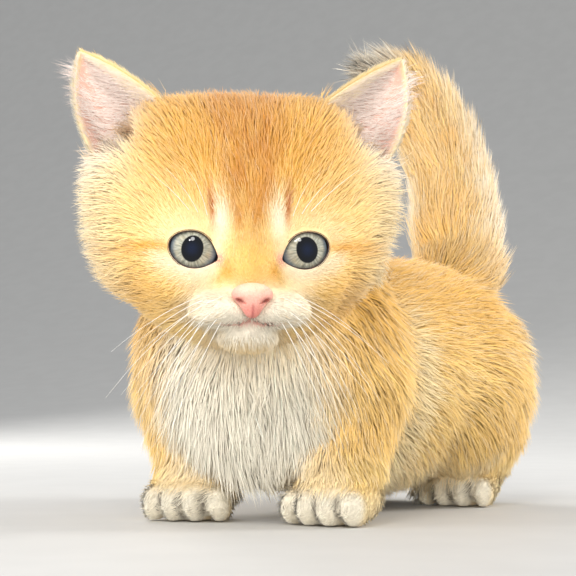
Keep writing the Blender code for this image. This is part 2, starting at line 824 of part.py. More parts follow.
def part_leg(body, side_name, fore):
    """One leg cut out of the body, and its paw with toes: returns both."""
    side, leg_forms = SIDES[side_name], foreleg if fore else hindleg
    stem = ("foreleg_" if fore else "hindleg_") + side_name
    leg = new_object(stem, body.data.copy())
    region = hull_of_balls(leg_balls(side_name, fore))
    combine(leg, region, "INTERSECT")
    ankle = Vector((0.0, 0.0 if fore else WHEELBASE, PAW_HEIGHT))
    lean = Vector((0.0, 0.25, 1.0)).normalized()
    cut(leg, side_of_plane(ankle, -lean))
    if fore:
        digits = toes(side, side * FORE_STANCE + FORE_SHIFT, FORE_TOE_LINE, FORE_SPLAY)
    else:
        digits = toes(side, side * HIND_STANCE + HIND_SHIFT, WHEELBASE + HIND_TOE_LINE, HIND_SPLAY)
    forms = Flesh((*leg_forms(side)[1:], *digits, leg_forms(side)[0]))
    pad = fleshed(stem.replace("leg", "paw"), forms, *PAW_GRAIN)
    top, floor = side_of_plane(ankle - lean * GAP, lean), side_of_plane((0, 0, 0), (0, 0, -1))
    cut(pad, top, floor)
    combine(pad, region, "INTERSECT")
    bpy.data.objects.remove(region)
    return largest_body(leg), largest_body(pad)


def split(obj, names, point, normal):
    """Parts the object by a thin plane cut: the first name lies on the normal's side."""
    normal = Vector(normal).normalized()
    near = new_object(names[0], obj.data.copy())
    far = new_object(names[1], obj.data.copy())
    cut(near, side_of_plane(Vector(point) + normal * GAP, -normal))
    cut(far, side_of_plane(point, normal))
    bpy.data.objects.remove(obj)
    return near, far


def make_body(seat):
    """Neck, chest, trunk, rump, legs and paws, clear of the head's seat and parted by thin cuts."""
    body = fleshed("body", BODY_FLESH, *BODY_GRAIN)
    cut(body, side_of_plane((0.0, 0.0, 0.0), (0.0, 0.0, -1.0)), seat)
    parts = {}
    for side_name in SIDES:
        for fore in (True, False):
            leg, pad = part_leg(body, side_name, fore)
            parts[leg.name], parts[pad.name] = leg, pad
    for side_name in SIDES:
        for fore in (True, False):
            cut(body, hull_of_balls(leg_balls(side_name, fore), extra=GAP))
    neck, torso = split(body, ("neck", "torso"), (-0.0050, 0.0060, 0.0660), (0.05, -0.62, 0.78))
    chest, barrel = split(torso, ("chest", "barrel"), (0.0, 0.0290, 0.0), (0.0, -1.0, 0.10))
    trunk, rump = split(barrel, ("trunk", "rump"), (0.0, 0.0700, 0.0), (0.0, -1.0, -0.10))
    for obj in (neck, chest, trunk, rump):
        parts[obj.name] = largest_body(obj)
    return parts


def grow_coat(head, ears, parts):
    """Grows the long locks of tail, breeches, bib and cheeks, each clear of what it lies beside."""
    rng = random.Random(7)
    hind = [obj for name, obj in parts.items() if name.startswith("hind")]
    fore = [obj for name, obj in parts.items() if name.startswith("fore")]
    tail_end, tail_base, rump = parts["tail_end"], parts["tail_base"], parts["rump"]
    neck, chest, trunk = parts["neck"], parts["chest"], parts["trunk"]
    grow(tail_end, locks_on(TAIL_FLESH, tail_coat(rng, 0.47, 0.96, 5), rng))
    grow(tail_base, locks_on(TAIL_FLESH, tail_coat(rng, 0.13, 0.36, 3), rng), [tail_end, rump])
    grow(rump, locks_on(BODY_FLESH, breeches(rng), rng), [*hind, tail_base, trunk])
    grow(chest, locks_on(BODY_FLESH, bib(rng), rng), [*fore, head, neck])
    ruff = locks_on(HEAD_FLESH, cheek_ruff(rng), rng, HEAD_MATRIX)
    grow(head, ruff, [neck, chest, *ears, *fore])


def finish(obj, recipe):
    """Gives the object its material."""
    name, colour, roughness = recipe
    material = bpy.data.materials.get(name)
    if material is None:
        material = bpy.data.materials.new(name)
        material.use_nodes = True
        shader = material.node_tree.nodes["Principled BSDF"]
        shader.inputs["Base Color"].default_value = colour
        shader.inputs["Roughness"].default_value = roughness
        material.diffuse_color = colour
    obj.data.materials.clear()
    obj.data.materials.append(material)
    obj.data.shade_smooth()


def centre_on_floor(objects):
    """Moves every mesh so that the model's box stands centred on the origin."""
    points = np.concatenate([points_of(obj.data) for obj in objects])
    low, high = points.min(axis=0), points.max(axis=0)
    shift = Vector((*(-(low + high) / 2)[:2], -low[2]))
    for obj in objects:
        obj.data.transform(Matrix.Translation(shift))


def main():
    """Builds the kitten."""
    for obj in list(bpy.data.objects):
        bpy.data.objects.remove(obj)
    for name in (KITTEN, CUTTERS):
        bpy.context.scene.collection.children.link(bpy.data.collections.new(name))
    head, eyes, seat = make_head()
    nose = make_nose(head)
    ears = [make_ear(side_name, head) for side_name in SIDES]
    parts = make_body(seat)
    tail = fleshed("tail", TAIL_FLESH, *TAIL_GRAIN)
    cut(tail, swollen(parts["rump"]))
    tail_end, tail_base = split(tail, ("tail_end", "tail_base"), (0.0, 0.1285, 0.1090), (0.0, -0.05, 1.0))
    parts.update({obj.name: largest_body(obj) for obj in (tail_end, tail_base)})
    grow_coat(head, ears, parts)
    for obj in eyes:
        finish(obj, EYE_GLASS)
    finish(nose, PINK_SKIN)
    for obj in (head, *ears, *parts.values()):
        finish(obj, WHITE_COAT if "paw" in obj.name else CREAM_COAT)
    centre_on_floor(list(bpy.data.collections[KITTEN].objects))


main()
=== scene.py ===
"""The looks of a munchkin kitten, a still, life-size model on four short legs.

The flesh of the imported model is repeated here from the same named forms, as one skin that lies
inside it by the depth of the coat. Over it stands the coat, as thin tapered tufts that follow the
lie of the hair. All forms are worked out in the maker's frame, in metres, with the kitten facing
-Y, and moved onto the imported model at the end.
"""

from __future__ import annotations

import itertools
import logging
import math
from dataclasses import dataclass, field
from enum import Enum
from typing import Any, Callable, Iterable, Sequence

import bmesh
import bpy
import numpy as np
from mathutils import Euler, Matrix, Vector
from mathutils.kdtree import KDTree


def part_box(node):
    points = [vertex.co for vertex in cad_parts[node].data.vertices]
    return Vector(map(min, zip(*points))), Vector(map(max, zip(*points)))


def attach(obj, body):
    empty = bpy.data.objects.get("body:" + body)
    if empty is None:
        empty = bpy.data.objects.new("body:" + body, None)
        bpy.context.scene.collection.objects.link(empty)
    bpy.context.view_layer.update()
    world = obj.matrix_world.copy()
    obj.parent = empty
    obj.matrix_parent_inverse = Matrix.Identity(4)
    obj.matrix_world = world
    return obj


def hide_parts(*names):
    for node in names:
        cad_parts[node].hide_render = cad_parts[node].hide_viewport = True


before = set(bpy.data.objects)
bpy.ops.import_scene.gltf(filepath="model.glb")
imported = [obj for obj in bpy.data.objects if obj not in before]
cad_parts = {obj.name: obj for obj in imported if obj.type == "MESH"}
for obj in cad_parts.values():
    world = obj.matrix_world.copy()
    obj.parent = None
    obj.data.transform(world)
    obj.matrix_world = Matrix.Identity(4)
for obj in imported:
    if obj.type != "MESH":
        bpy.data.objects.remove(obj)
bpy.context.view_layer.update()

log = logging.getLogger("kitten")

Array = np.ndarray
Chance = np.random.Generator
BMesh = bmesh.types.BMesh
Mesh = bpy.types.Mesh
Object = bpy.types.Object
Material = bpy.types.Material
Socket = bpy.types.NodeSocket
Shade = tuple[int, int, int]
Triple = tuple[float, float, float]
Field = Callable[[Array], Array]
Named = dict[Any, Any] | None

SIDES = {"left": 1.0, "right": -1.0}
FLOOR_CLEARANCE = 0.0004
FLESH_NODES = tuple(
    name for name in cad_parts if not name.startswith("eye_") and name != "nose"
)


def tint(red: int, green: int, blue: int) -> Array:
    """The linear light of a tint whose channels go from 0 to 255."""
    share = np.array([red, green, blue], float) / 255.0
    return np.where(share <= 0.04045, share / 12.92, ((share + 0.055) / 1.055) ** 2.4)


def plain(shade: Shade, count: int) -> Array:
    """As many rows of one tint."""
    return np.tile(tint(*shade), (count, 1))


def step(values: Array, low: float, high: float) -> Array:
    """A smooth rise from 0 at low to 1 at high, or a fall where low is the greater."""
    share = np.clip((values - low) / (high - low), 0.0, 1.0)
    return share * share * (3.0 - 2.0 * share)


def spot(points: Array, centre: Sequence[float], radii: Sequence[float]) -> Array:
    """A soft spot at each point, 1 at the centre and fading out past the half sizes."""
    away = ((points - np.array(centre)) / np.array(radii)) ** 2
    return np.exp(-away.sum(axis=1))


def blend(first: Array, second: Array, share: Array | float) -> Array:
    """Mixes two rows of values by a share for each row.

    Args:
        first: What a share of 0 gives.
        second: What a share of 1 gives.
        share: The share of each row.

    Returns:
        The mixed rows.
    """
    part = np.asarray(share, float)
    if part.ndim == 1 and np.shape(first)[-1:] == (3,) and np.ndim(first) + np.ndim(second) >= 2:
        part = part[:, None]
    return first + (second - first) * part


def layered(base: Array, *layers: tuple[Shade, Array]) -> Array:
    """Lays tints over some rows in turn.

    Args:
        base: The tints that the others are laid over.
        layers: Each tint, with its share in each row.

    Returns:
        The rows with all the tints in them.
    """
    for shade, share in layers:
        base = blend(base, tint(*shade), share)
    return base


def unit(rows: Array) -> Array:
    """Scales each row to a length of one."""
    return rows / np.maximum(np.linalg.norm(rows, axis=1, keepdims=True), 1e-9)


def laid(rows: Array, out: Array) -> Array:
    """Lays each row flat on the surface whose outward direction is out."""
    return unit(rows - out * (rows * out).sum(axis=1, keepdims=True))


def turned(rows: Array, axis: Array, angle: Array) -> Array:
    """Turns each row round its axis, at right angles to it, by its angle."""
    return rows * np.cos(angle)[:, None] + np.cross(axis, rows) * np.sin(angle)[:, None]


def rows_of(*columns: Any) -> Array:
    """Rows whose columns are numbers, each plain or one for every row."""
    return np.stack(np.broadcast_arrays(*columns), axis=1)


def placed(points: Array, matrix: Matrix) -> Array:
    """The points moved by a matrix."""
    whole = np.array(matrix)
    return points @ whole[:3, :3].T + whole[:3, 3]


def slope_of(gap: Field, points: Array, at: Array, reach: float) -> Array:
    """The way out of a surface at each point, where at holds its distance there."""
    return np.stack([(gap(points + axis) - at) / reach for axis in np.eye(3) * reach], axis=1)


def drawn_to(gap: Field, points: Array, rounds: int, reach: float) -> Array:
    """Moves points onto the surface where their distance is nought.

    Args:
        gap: Measures the distance from points to the surface.
        points: The points, as rows.
        rounds: How many times they are moved.
        reach: How far apart distances are compared.

    Returns:
        The moved points.
    """
    for _ in range(rounds):
        at = gap(points)
        slope = slope_of(gap, points, at, reach)
        points = points - slope * (at / np.maximum((slope**2).sum(axis=1), 0.25))[:, None]
    return points


def folded(points: Array) -> Array:
    """The points with the right side of the head folded onto the left."""
    return np.abs(points * (1.0, 0.0, 0.0)) + points * (0.0, 1.0, 1.0)


def tree_of(points: Array) -> KDTree:
    """A search tree over the points."""
    tree = KDTree(len(points))
    for index, point in enumerate(points):
        tree.insert(point, index)
    tree.balance()
    return tree


def grain(points: Array, size: float, seed: int) -> Array:
    """Smooth random values from -1 to 1 that vary over this size.

    Args:
        points: The points, as rows.
        size: The width of one patch, in metres.
        seed: The number that picks the pattern.

    Returns:
        The value at each point.
    """
    place = points / size + seed * 17.31
    cell = np.floor(place).astype(np.int64)
    part = place - cell
    part = part * part * (3.0 - 2.0 * part)
    total = np.zeros(len(points))
    for corner in itertools.product((0, 1), repeat=3):
        at = cell + np.array(corner)
        mixed = at[:, 0] * 73856093 ^ at[:, 1] * 19349663 ^ at[:, 2] * 83492791 ^ seed * 9176
        mixed = ((mixed ^ (mixed >> 13)) * 1274126177) & 0x7FFFFFFF
        value = ((mixed >> 8) & 0xFFFF) / 32767.5 - 1.0
        total += value * np.prod(np.where(corner, part, 1.0 - part), axis=1)
    return total


@dataclass(frozen=True)
class Ball:
    """An ellipsoid of flesh: its centre, half sizes, turn and how widely it melts into the rest."""

    centre: Triple
    radii: Triple
    melt: float = 0.006
    turn: Triple = (0.0, 0.0, 0.0)

    def reach(self) -> tuple[Array, float]:
        """The middle of the form and the radius of a ball round it."""
        return np.array(self.centre), max(self.radii)

    def gap(self, points: Array) -> Array:
        """Distance from each point to the surface, negative inside."""
        away = (points - np.array(self.centre)) @ np.array(Euler(self.turn).to_matrix())
        radii = np.array(self.radii)
        reach = np.linalg.norm(away / radii, axis=1)
        slope = np.linalg.norm(away / radii**2, axis=1)
        return reach * (reach - 1.0) / np.maximum(slope, 1e-6)

    def balls(self) -> list[Matrix]:
        """The unit-ball matrices that fill this form."""
        turn = Euler(self.turn).to_matrix().to_4x4()
        return [Matrix.Translation(self.centre) @ turn @ Matrix.Diagonal((*self.radii, 1.0))]


@dataclass(frozen=True)
class Limb:
    """A round limb through (x, y, z, radius) stations."""

    stations: tuple[tuple[float, float, float, float], ...]
    melt: float = 0.006

    def reach(self) -> tuple[Array, float]:
        """The middle of the form and the radius of a ball round it."""
        spots = np.array(self.stations)
        middle = spots[:, :3].mean(axis=0)
        return middle, float((np.linalg.norm(spots[:, :3] - middle, axis=1) + spots[:, 3]).max())

    def nearest(self, points: Array) -> tuple[Array, Array]:
        """Distance from each point to the surface, and how far along the limb it lies.

        Args:
            points: The points, as rows.

        Returns:
            The distances, and the places from 0 at the first station to 1 at the last.
        """
        gap = np.full(len(points), 1.0)
        along = np.zeros(len(points))
        parts = len(self.stations) - 1
        for index, (start, end) in enumerate(itertools.pairwise(self.stations)):
            first, way = np.array(start[:3]), np.array(end[:3]) - np.array(start[:3])
            share = np.clip((points - first) @ way / (way @ way), 0.0, 1.0)
            radius = start[3] + (end[3] - start[3]) * share
            away = np.linalg.norm(points - first - share[:, None] * way, axis=1) - radius
            along = np.where(away < gap, (index + share) / parts, along)
            gap = np.minimum(gap, away)
        return gap, along

    def gap(self, points: Array) -> Array:
        """Distance from each point to the surface, negative inside."""
        return self.nearest(points)[0]

    def balls(self) -> list[Matrix]:
        """The unit-ball matrices that fill this form."""
        found = []
        for start, end in itertools.pairwise(self.stations):
            length = math.dist(start[:3], end[:3])
            count = max(2, math.ceil(length / (0.3 * min(start[3], end[3]))))
            for index in range(count + 1):
                x, y, z, radius = (a + (b - a) * index / count for a, b in zip(start, end))
                found.append(Matrix.Translation((x, y, z)) @ Matrix.Scale(radius, 4))
        return found


def melted(first: Array, second: Array, melt: float) -> Array:
    """Joins two distances with a soft fillet of this width."""
    share = np.clip(0.5 + 0.5 * (second - first) / melt, 0.0, 1.0)
    return second + (first - second) * share - melt * share * (1.0 - share)


@dataclass(frozen=True)
class Flesh:
    """Forms melted into one body, in the frame that the matrix gives."""

    forms: tuple[Ball | Limb, ...]
    matrix: Matrix = field(default_factory=lambda: Matrix.Identity(4))
    far: float = 0.05

    def local(self, points: Array) -> Array:
        """The points in the flesh's own frame."""
        return placed(points, self.matrix.inverted())

    def gap(self, points: Array) -> Array:
        """Distance from each point to the melted surface, negative inside.

        Args:
            points: The points, as rows, in the maker's frame.

        Returns:
            The distances, none of them greater than far.
        """
        own = self.local(points)
        total = np.full(len(own), self.far)
        for form in self.forms:
            middle, radius = form.reach()
            near = ((own - middle) ** 2).sum(axis=1) < (radius + form.melt + 0.012) ** 2
            if near.any():
                total[near] = melted(total[near], form.gap(own[near]), form.melt)
        return total

    def balls(self) -> list[Matrix]:
        """The unit-ball matrices that fill the flesh, in the maker's frame."""
        return [self.matrix @ ball for form in self.forms for ball in form.balls()]


@dataclass(frozen=True)
class Anatomy:
    """The kitten's sizes and forms, as the solids have them."""

    fore_stance: float = 0.0215
    hind_stance: float = 0.0200
    wheelbase: float = 0.0920
    fore_shift: float = -0.0047
    hind_shift: float = 0.0005
    head_centre: Triple = (-0.0017, -0.0195, 0.0782)
    head_turn: float = math.radians(31.0)
    head_nod: float = math.radians(7.0)
    eye_place: Triple = (0.0128, -0.0190, -0.0060)
    eye_radius: float = 0.0078
    lid_thickness: float = 0.0011
    eye_opening: Triple = (0.0062, 0.0044, 0.0048)
    eye_slant: float = math.radians(13.0)
    eye_yaw: float = math.radians(9.0)
    socket_gap: float = 0.00035
    nose_tip: Triple = (0.0, -0.0340, -0.0160)
    ear_hollow: Triple = (0.0300, 0.0000, 0.0205)
    ear_hollow_radii: Triple = (0.0062, 0.0125, 0.0068)

    def head_matrix(self) -> Matrix:
        """Takes the head's own frame into the maker's."""
        turn = Matrix.Rotation(self.head_turn, 4, "Z") @ Matrix.Rotation(self.head_nod, 4, "X")
        return Matrix.Translation(self.head_centre) @ turn

    def eye_matrix(self, side: float) -> Matrix:
        """Takes one eye's frame, which looks along -Y, into the maker's."""
        x, y, z = self.eye_place
        outward = Matrix.Rotation(side * self.eye_yaw, 4, "Z")
        slant = Matrix.Rotation(-side * self.eye_slant, 4, "Y")
        return self.head_matrix() @ Matrix.Translation((side * x, y, z)) @ outward @ slant

    def head(self) -> Flesh:
        """Skull, cheeks, muzzle and chin."""
        x, y, z = self.eye_place
        forms: list[Ball | Limb] = [
            Ball((0.0, 0.0060, 0.0080), (0.0362, 0.0315, 0.0262)),
            Ball((0.0, -0.0020, -0.0030), (0.0325, 0.0245, 0.0240), 0.008),
        ]
        for side in SIDES.values():
            forms += [
                Ball((side * 0.0186, 0.0060, 0.0140), (0.0172, 0.0230, 0.0165), 0.010),
                Ball((side * 0.0162, 0.0040, -0.0040), (0.0185, 0.0235, 0.0205), 0.010),
                Ball((side * 0.0125, -0.0160, -0.0140), (0.0115, 0.0105, 0.0080), 0.006),
                Ball((side * x, y, z), (0.0084,) * 3, 0.0035),
            ]
        forms += [
            Ball((0.0, -0.0235, -0.0105), (0.0070, 0.0110, 0.0085), 0.007),
            Ball((0.0, 0.0, -0.0190), (0.0225, 0.0210, 0.0135), 0.008),
        ]
        for side in SIDES.values():
            forms.append(Ball((side * 0.0064, -0.0275, -0.0206), (0.0084, 0.0082, 0.0050), 0.0028))
        forms.append(Ball((0.0, -0.0245, -0.0268), (0.0078, 0.0078, 0.0050), 0.0018))
        return Flesh(tuple(forms), self.head_matrix())

    def nose(self) -> Flesh:
        """The nose leather."""
        forms = (
            Ball((0.0, -0.0350, -0.0166), (0.0050, 0.0030, 0.0028)),
            Ball((0.0, -0.0352, -0.0193), (0.0024, 0.0024, 0.0030), 0.0022),
        )
        return Flesh(forms, self.head_matrix())

    def torso(self) -> Flesh:
        """Chest, barrel, rump and neck."""
        return Flesh(
            (
                Ball((-0.0090, 0.0085, 0.0445), (0.0390, 0.0225, 0.0345)),
                Ball((-0.0040, 0.0520, 0.0415), (0.0370, 0.0420, 0.0350), 0.026),
                Ball((0.0020, 0.0950, 0.0420), (0.0355, 0.0350, 0.0350), 0.026),
                Limb(
                    ((-0.0070, 0.0060, 0.0600, 0.0270), (-0.0040, -0.0070, 0.0740, 0.0250)),
                    0.012,
                ),
                Ball((-0.0070, -0.0020, 0.0430), (0.0280, 0.0120, 0.0260), 0.010),
                Ball((-0.0030, 0.0520, 0.0225), (0.0230, 0.0400, 0.0150), 0.010),
            )
        )

    def paw_place(self, side: float, fore: bool) -> tuple[float, float]:
        """Where one paw stands on the floor."""
        if fore:
            return side * self.fore_stance + self.fore_shift, 0.0
        return side * self.hind_stance + self.hind_shift, self.wheelbase

    def paw_splay(self, side: float, fore: bool) -> float:
        """How far one paw is turned outward."""
        return side * math.radians(-9.0 if fore else -4.0)

    def legs(self, fore: bool) -> Flesh:
        """Both legs of the front or back, with their paws and toes.

        Args:
            fore: Whether they are the forelegs.

        Returns:
            Their flesh.
        """
        forms: list[Ball | Limb] = []
        for side in SIDES.values():
            x, y = self.paw_place(side, fore)
            if fore:
                shoulder = (side * 0.0225 - 0.0070, 0.0090, 0.0350, 0.0155)
                wrist = ((x, 0.003, 0.018, 0.0122), (x, 0.001, 0.01, 0.0108))
                forms.append(Limb((shoulder, *wrist), 0.009))
                forms.append(Ball((x, y, 0.0068), (0.0112, 0.0125, 0.0076), 0.004))
            else:
                hock = (
                    (x, 0.1020, 0.0220, 0.0130),
                    (x, 0.1070, 0.0125, 0.0098),
                    (x, 0.0940, 0.0080, 0.0090),
                )
                forms.append(Ball((x + side * 0.003, 0.092, 0.033), (0.0165, 0.026, 0.024), 0.012))
                forms.append(Limb(hock, 0.008))
                forms.append(Ball((x, y, 0.0066), (0.0112, 0.0125, 0.0074), 0.004))
        for side in SIDES.values():
            x, y = self.paw_place(side, fore)
            turn = Euler((0.0, 0.0, self.paw_splay(side, fore)))
            front = 0.0020 if fore else 0.0025
            for place in (-1.5, -0.5, 0.5, 1.5):
                back = 0.0058 + 0.0010 * (place * place - 0.25) - 0.0155
                offset = Vector((place * 0.0062, back, 0.0))
                offset.rotate(turn)
                centre = (x + offset.x, y + front + offset.y, 0.0050)
                forms.append(Ball(centre, (0.0034, 0.0058, 0.0054), 0.0010, tuple(turn)))
        return Flesh(tuple(forms))

    def tail(self) -> Limb:
        """The tail's core, from inside the rump to its tip."""
        return Limb(
            (
                (0.0080, 0.1120, 0.0640, 0.0120),
                (0.0087, 0.1220, 0.0760, 0.0115),
                (0.0070, 0.1270, 0.0900, 0.0108),
                (0.0050, 0.1290, 0.1040, 0.0100),
                (0.0022, 0.1280, 0.1180, 0.0092),
                (-0.0020, 0.1240, 0.1300, 0.0082),
                (-0.0055, 0.1185, 0.1378, 0.0068),
                (-0.0088, 0.1120, 0.1420, 0.0052),
                (-0.0118, 0.1055, 0.1430, 0.0036),
            )
        )


class Zone(Enum):
    """A part of the body whose coat has its own lie and length."""

    HEAD = "head"
    TORSO = "torso"
    FORE = "fore"
    HIND = "hind"
    TAIL = "tail"


@dataclass
class Reading:
    """What the body's fields read at some points.

    The shares tell how far each point belongs to each zone.
    """

    points: Array
    head_points: Array
    whole: Array
    shares: dict[Zone, Array]
    along_tail: Array
    nose_away: Array
    eye_away: Array

    def cheek(self) -> Array:
        """How far each point lies on the long hair of the cheeks."""
        own = self.head_points
        wide = step(np.abs(own[:, 0]), 0.0235, 0.0330)
        high = step(own[:, 2], 0.0240, 0.0130) * step(own[:, 1], -0.0200, -0.0080)
        return wide * high * self.shares[Zone.HEAD]

    def chin(self) -> Array:
        """How far each point lies on the chin and the throat under it."""
        x, y, z = self.head_points.T
        return step(z, -0.0235, -0.0275) * step(np.abs(x), 0.0150, 0.0100) * step(y, -0.008, -0.016)

    def bib(self) -> Array:
        """How far each point lies on the long hair of the chest."""
        x, y, z = self.points.T
        front = step(y, 0.0020, -0.0100) * step(np.abs(x + 0.007), 0.0330, 0.0220)
        return front * step(z, 0.0100, 0.0180) * self.shares[Zone.TORSO]

    def breeches(self) -> Array:
        """How far each point lies on the long hair of the rump's back."""
        x, y, z = self.points.T
        behind = step(y + 0.4 * np.abs(x - 0.002), 0.1080, 0.1240)
        back = behind * step(z, 0.0740, 0.0660) * step(z, 0.0100, 0.0180)
        return back * (self.shares[Zone.TORSO] + self.shares[Zone.HIND])


@dataclass(frozen=True)
class Curve:
    """A value that follows another by straight steps between its stations."""

    places: tuple[float, ...]
    values: tuple[float, ...]

    def at(self, where: Array) -> Array:
        """The value at each place."""
        return np.interp(where, self.places, self.values)


FROM_NOSE = (0.0, 0.008, 0.016, 0.028, 0.045, 0.075)
UP_LEG = (0.0, 0.006, 0.014, 0.030)


@dataclass(frozen=True)
class Body:
    """The whole kitten as fields: its distance, the coat's depth, and how the hair grows.

    Each curve of the head follows the distance from the nose, each of the legs the height over the
    floor, and each of the tail the way along it.
    """

    anatomy: Anatomy = Anatomy()
    share_width: float = 0.0022
    head_depth: Curve = Curve(FROM_NOSE, (0.0002, 0.0004, 0.0008, 0.0015, 0.0023, 0.0028))
    head_length: Curve = Curve(
        (0.0, 0.006, 0.012, 0.022, 0.034, 0.050, 0.075),
        (0.0010, 0.0014, 0.0021, 0.0036, 0.0052, 0.0070, 0.0090),
    )
    head_stand: Curve = Curve(FROM_NOSE, (0.0003, 0.0005, 0.0009, 0.0016, 0.0026, 0.0032))
    head_width: Curve = Curve((0.0, 0.010, 0.025, 0.050), (0.00022, 0.00026, 0.00032, 0.00038))
    leg_depth: Curve = Curve(UP_LEG, (0.0003, 0.0005, 0.0015, 0.0032))
    leg_length: Curve = Curve(UP_LEG, (0.0020, 0.0026, 0.0048, 0.0085))
    leg_stand: Curve = Curve(UP_LEG, (0.0006, 0.0009, 0.0020, 0.0038))
    leg_width: Curve = Curve((0.0, 0.012, 0.030), (0.00030, 0.00034, 0.00044))
    tail_depth: float = 0.0010
    tail_length: Curve = Curve((0.0, 0.2, 0.8, 1.0), (0.010, 0.0150, 0.0140, 0.0150))
    tail_stand: Curve = Curve((0.0, 0.2, 0.75, 1.0), (0.0050, 0.0066, 0.0062, 0.0040))
    tail_width: float = 0.00050
    torso_width: float = 0.00047

    def read(self, points: Array) -> Reading:
        """Reads the fields at some points.

        Args:
            points: The points, as rows, in the maker's frame.

        Returns:
            The reading.
        """
        shape = self.anatomy
        head, torso = shape.head(), shape.torso()
        tail_gap, along = shape.tail().nearest(points)
        gaps = {
            Zone.HEAD: head.gap(points),
            Zone.TORSO: torso.gap(points),
            Zone.FORE: shape.legs(True).gap(points),
            Zone.HIND: shape.legs(False).gap(points),
            Zone.TAIL: tail_gap,
        }
        whole = melted(gaps[Zone.TORSO], gaps[Zone.FORE], 0.007)
        whole = melted(whole, gaps[Zone.HIND], 0.008)
        whole = melted(whole, gaps[Zone.HEAD], 0.005)
        whole = melted(whole, gaps[Zone.TAIL], 0.007)
        stack = np.stack([gaps[zone] for zone in Zone])
        pull = np.exp(-(stack - stack.min(axis=0)) / self.share_width)
        pull /= pull.sum(axis=0)
        own = head.local(points)
        nose_away = np.linalg.norm(own - np.array(shape.nose_tip), axis=1)
        eye_away = np.linalg.norm(folded(own) - np.array(shape.eye_place), axis=1)
        shares = {zone: pull[index] for index, zone in enumerate(Zone)}
        return Reading(points, own, whole, shares, along, nose_away, eye_away)

    def mixed(self, reading: Reading, *values: Any) -> Array:
        """Adds up the values of the zones by their shares.

        Args:
            reading: The reading at the points.
            values: A number, or one for each point, for each zone in turn.

        Returns:
            The mixed value at each point.
        """
        total: Any = 0.0
        for zone, value in zip(Zone, values, strict=True):
            share = reading.shares[zone]
            value = np.asarray(value, float)
            total = total + value * (share[:, None] if value.ndim == 2 else share)
        return total

    def near_eye(self, reading: Reading) -> Array:
        """How far each point lies on the thin hair round an eye."""
        return step(reading.eye_away, 0.0155, 0.0095) * reading.shares[Zone.HEAD]

    def by_ear(self, reading: Reading) -> Array:
        """How far each point lies on the short hair in front of an ear's opening."""
        x, y, z = self.anatomy.ear_hollow
        own = folded(reading.head_points)
        share = spot(own, (x, y - 0.006, z - 0.002), (0.0075, 0.0110, 0.0070))
        return np.clip(1.6 * share, 0.0, 1.0)

    def depth(self, reading: Reading) -> Array:
        """How deep the skin lies in the solids, at each point."""
        head = blend(self.head_depth.at(reading.nose_away), 0.0005, self.near_eye(reading))
        head = blend(head, 0.0016, reading.cheek())
        leg = self.leg_depth.at(reading.points[:, 2])
        torso = 0.0044 - 0.0030 * reading.bib() - 0.0028 * reading.breeches()
        return self.mixed(reading, head, torso, leg, leg, self.tail_depth)

    def skin_gap(self, points: Array) -> Array:
        """Distance from each point to the skin, which lies under the coat."""
        reading = self.read(points)
        return reading.whole + self.depth(reading)

    def drawn(self, points: Array, rounds: int) -> Array:
        """The points moved onto the skin."""
        return drawn_to(self.skin_gap, points, rounds, 0.0002)

    def length(self, reading: Reading) -> Array:
        """The length of the hair at each point."""
        head = self.head_length.at(reading.nose_away) * (1.0 - 0.55 * self.by_ear(reading))
        head = head * (1.0 - 0.60 * self.near_eye(reading))
        head = head + 0.0060 * reading.cheek() + 0.0004 * reading.chin()
        leg = self.leg_length.at(reading.points[:, 2])
        torso = 0.0105 + 0.0045 * reading.bib() + 0.0040 * reading.breeches()
        return self.mixed(reading, head, torso, leg, leg, self.tail_length.at(reading.along_tail))

    def stand(self, reading: Reading) -> Array:
        """How high the tips of the hair stand off the skin at each point."""
        head = self.head_stand.at(reading.nose_away) * (1.0 - 0.45 * self.near_eye(reading))
        head = head + 0.0016 * reading.cheek()
        leg = self.leg_stand.at(reading.points[:, 2])
        torso = 0.0050 - 0.0004 * reading.bib() + 0.0006 * reading.breeches()
        return self.mixed(reading, head, torso, leg, leg, self.tail_stand.at(reading.along_tail))

    def width(self, reading: Reading) -> Array:
        """The width of a tuft at each point."""
        head, leg = self.head_width.at(reading.nose_away), self.leg_width.at(reading.points[:, 2])
        return self.mixed(reading, head, self.torso_width, leg, leg, self.tail_width)

    def lie(self, reading: Reading, out: Array) -> Array:
        """The way the hair lies at each point, flat on the surface.

        Args:
            reading: The reading at the points.
            out: The way out of the skin at each.

        Returns:
            The unit directions.
        """
        shape = self.anatomy
        own = reading.head_points
        side = np.sign(own[:, 0])
        away = unit(own - np.array([0.0, -0.0300, -0.0150]))
        from_eye = unit(own - np.array(shape.eye_place) * rows_of(side, 1.0, 1.0))
        near = step(reading.eye_away, 0.0180, 0.0100)
        towards = np.minimum((away * from_eye).sum(axis=1), 0.0)
        away = away - from_eye * (towards * near)[:, None] + from_eye * (0.55 * near)[:, None]
        away = away + rows_of(side * 0.55, 0.35, -0.50) * reading.cheek()[:, None]
        away = away + np.array([0.0, 0.1, -0.7]) * reading.chin()[:, None]
        head = away @ np.array(shape.head_matrix())[:3, :3].T
        x, y, z = reading.points.T
        across = (x + 0.004) / 0.036
        low = np.clip((0.070 - z) / 0.05, 0.0, 1.2)
        sides = rows_of(0.10 * across, 0.80, -0.05 - 0.55 * low)
        torso = blend(sides, rows_of(0.35 * across, -0.10, -1.0), step(y, 0.0260, -0.0060))
        torso = blend(torso, rows_of(0.45 * across, 0.35, -0.80), step(y, 0.0850, 0.1250))
        down = rows_of(0.10 * across, 0.05, -1.0)
        leg = blend(down, np.array([0.0, -1.0, -0.25]), step(z, 0.0150, 0.0100))
        ways = unit(np.diff(np.array(shape.tail().stations)[:, :3], axis=0))
        at = np.clip(reading.along_tail * len(ways) - 0.5, 0.0, len(ways) - 1.001)
        index = at.astype(int)
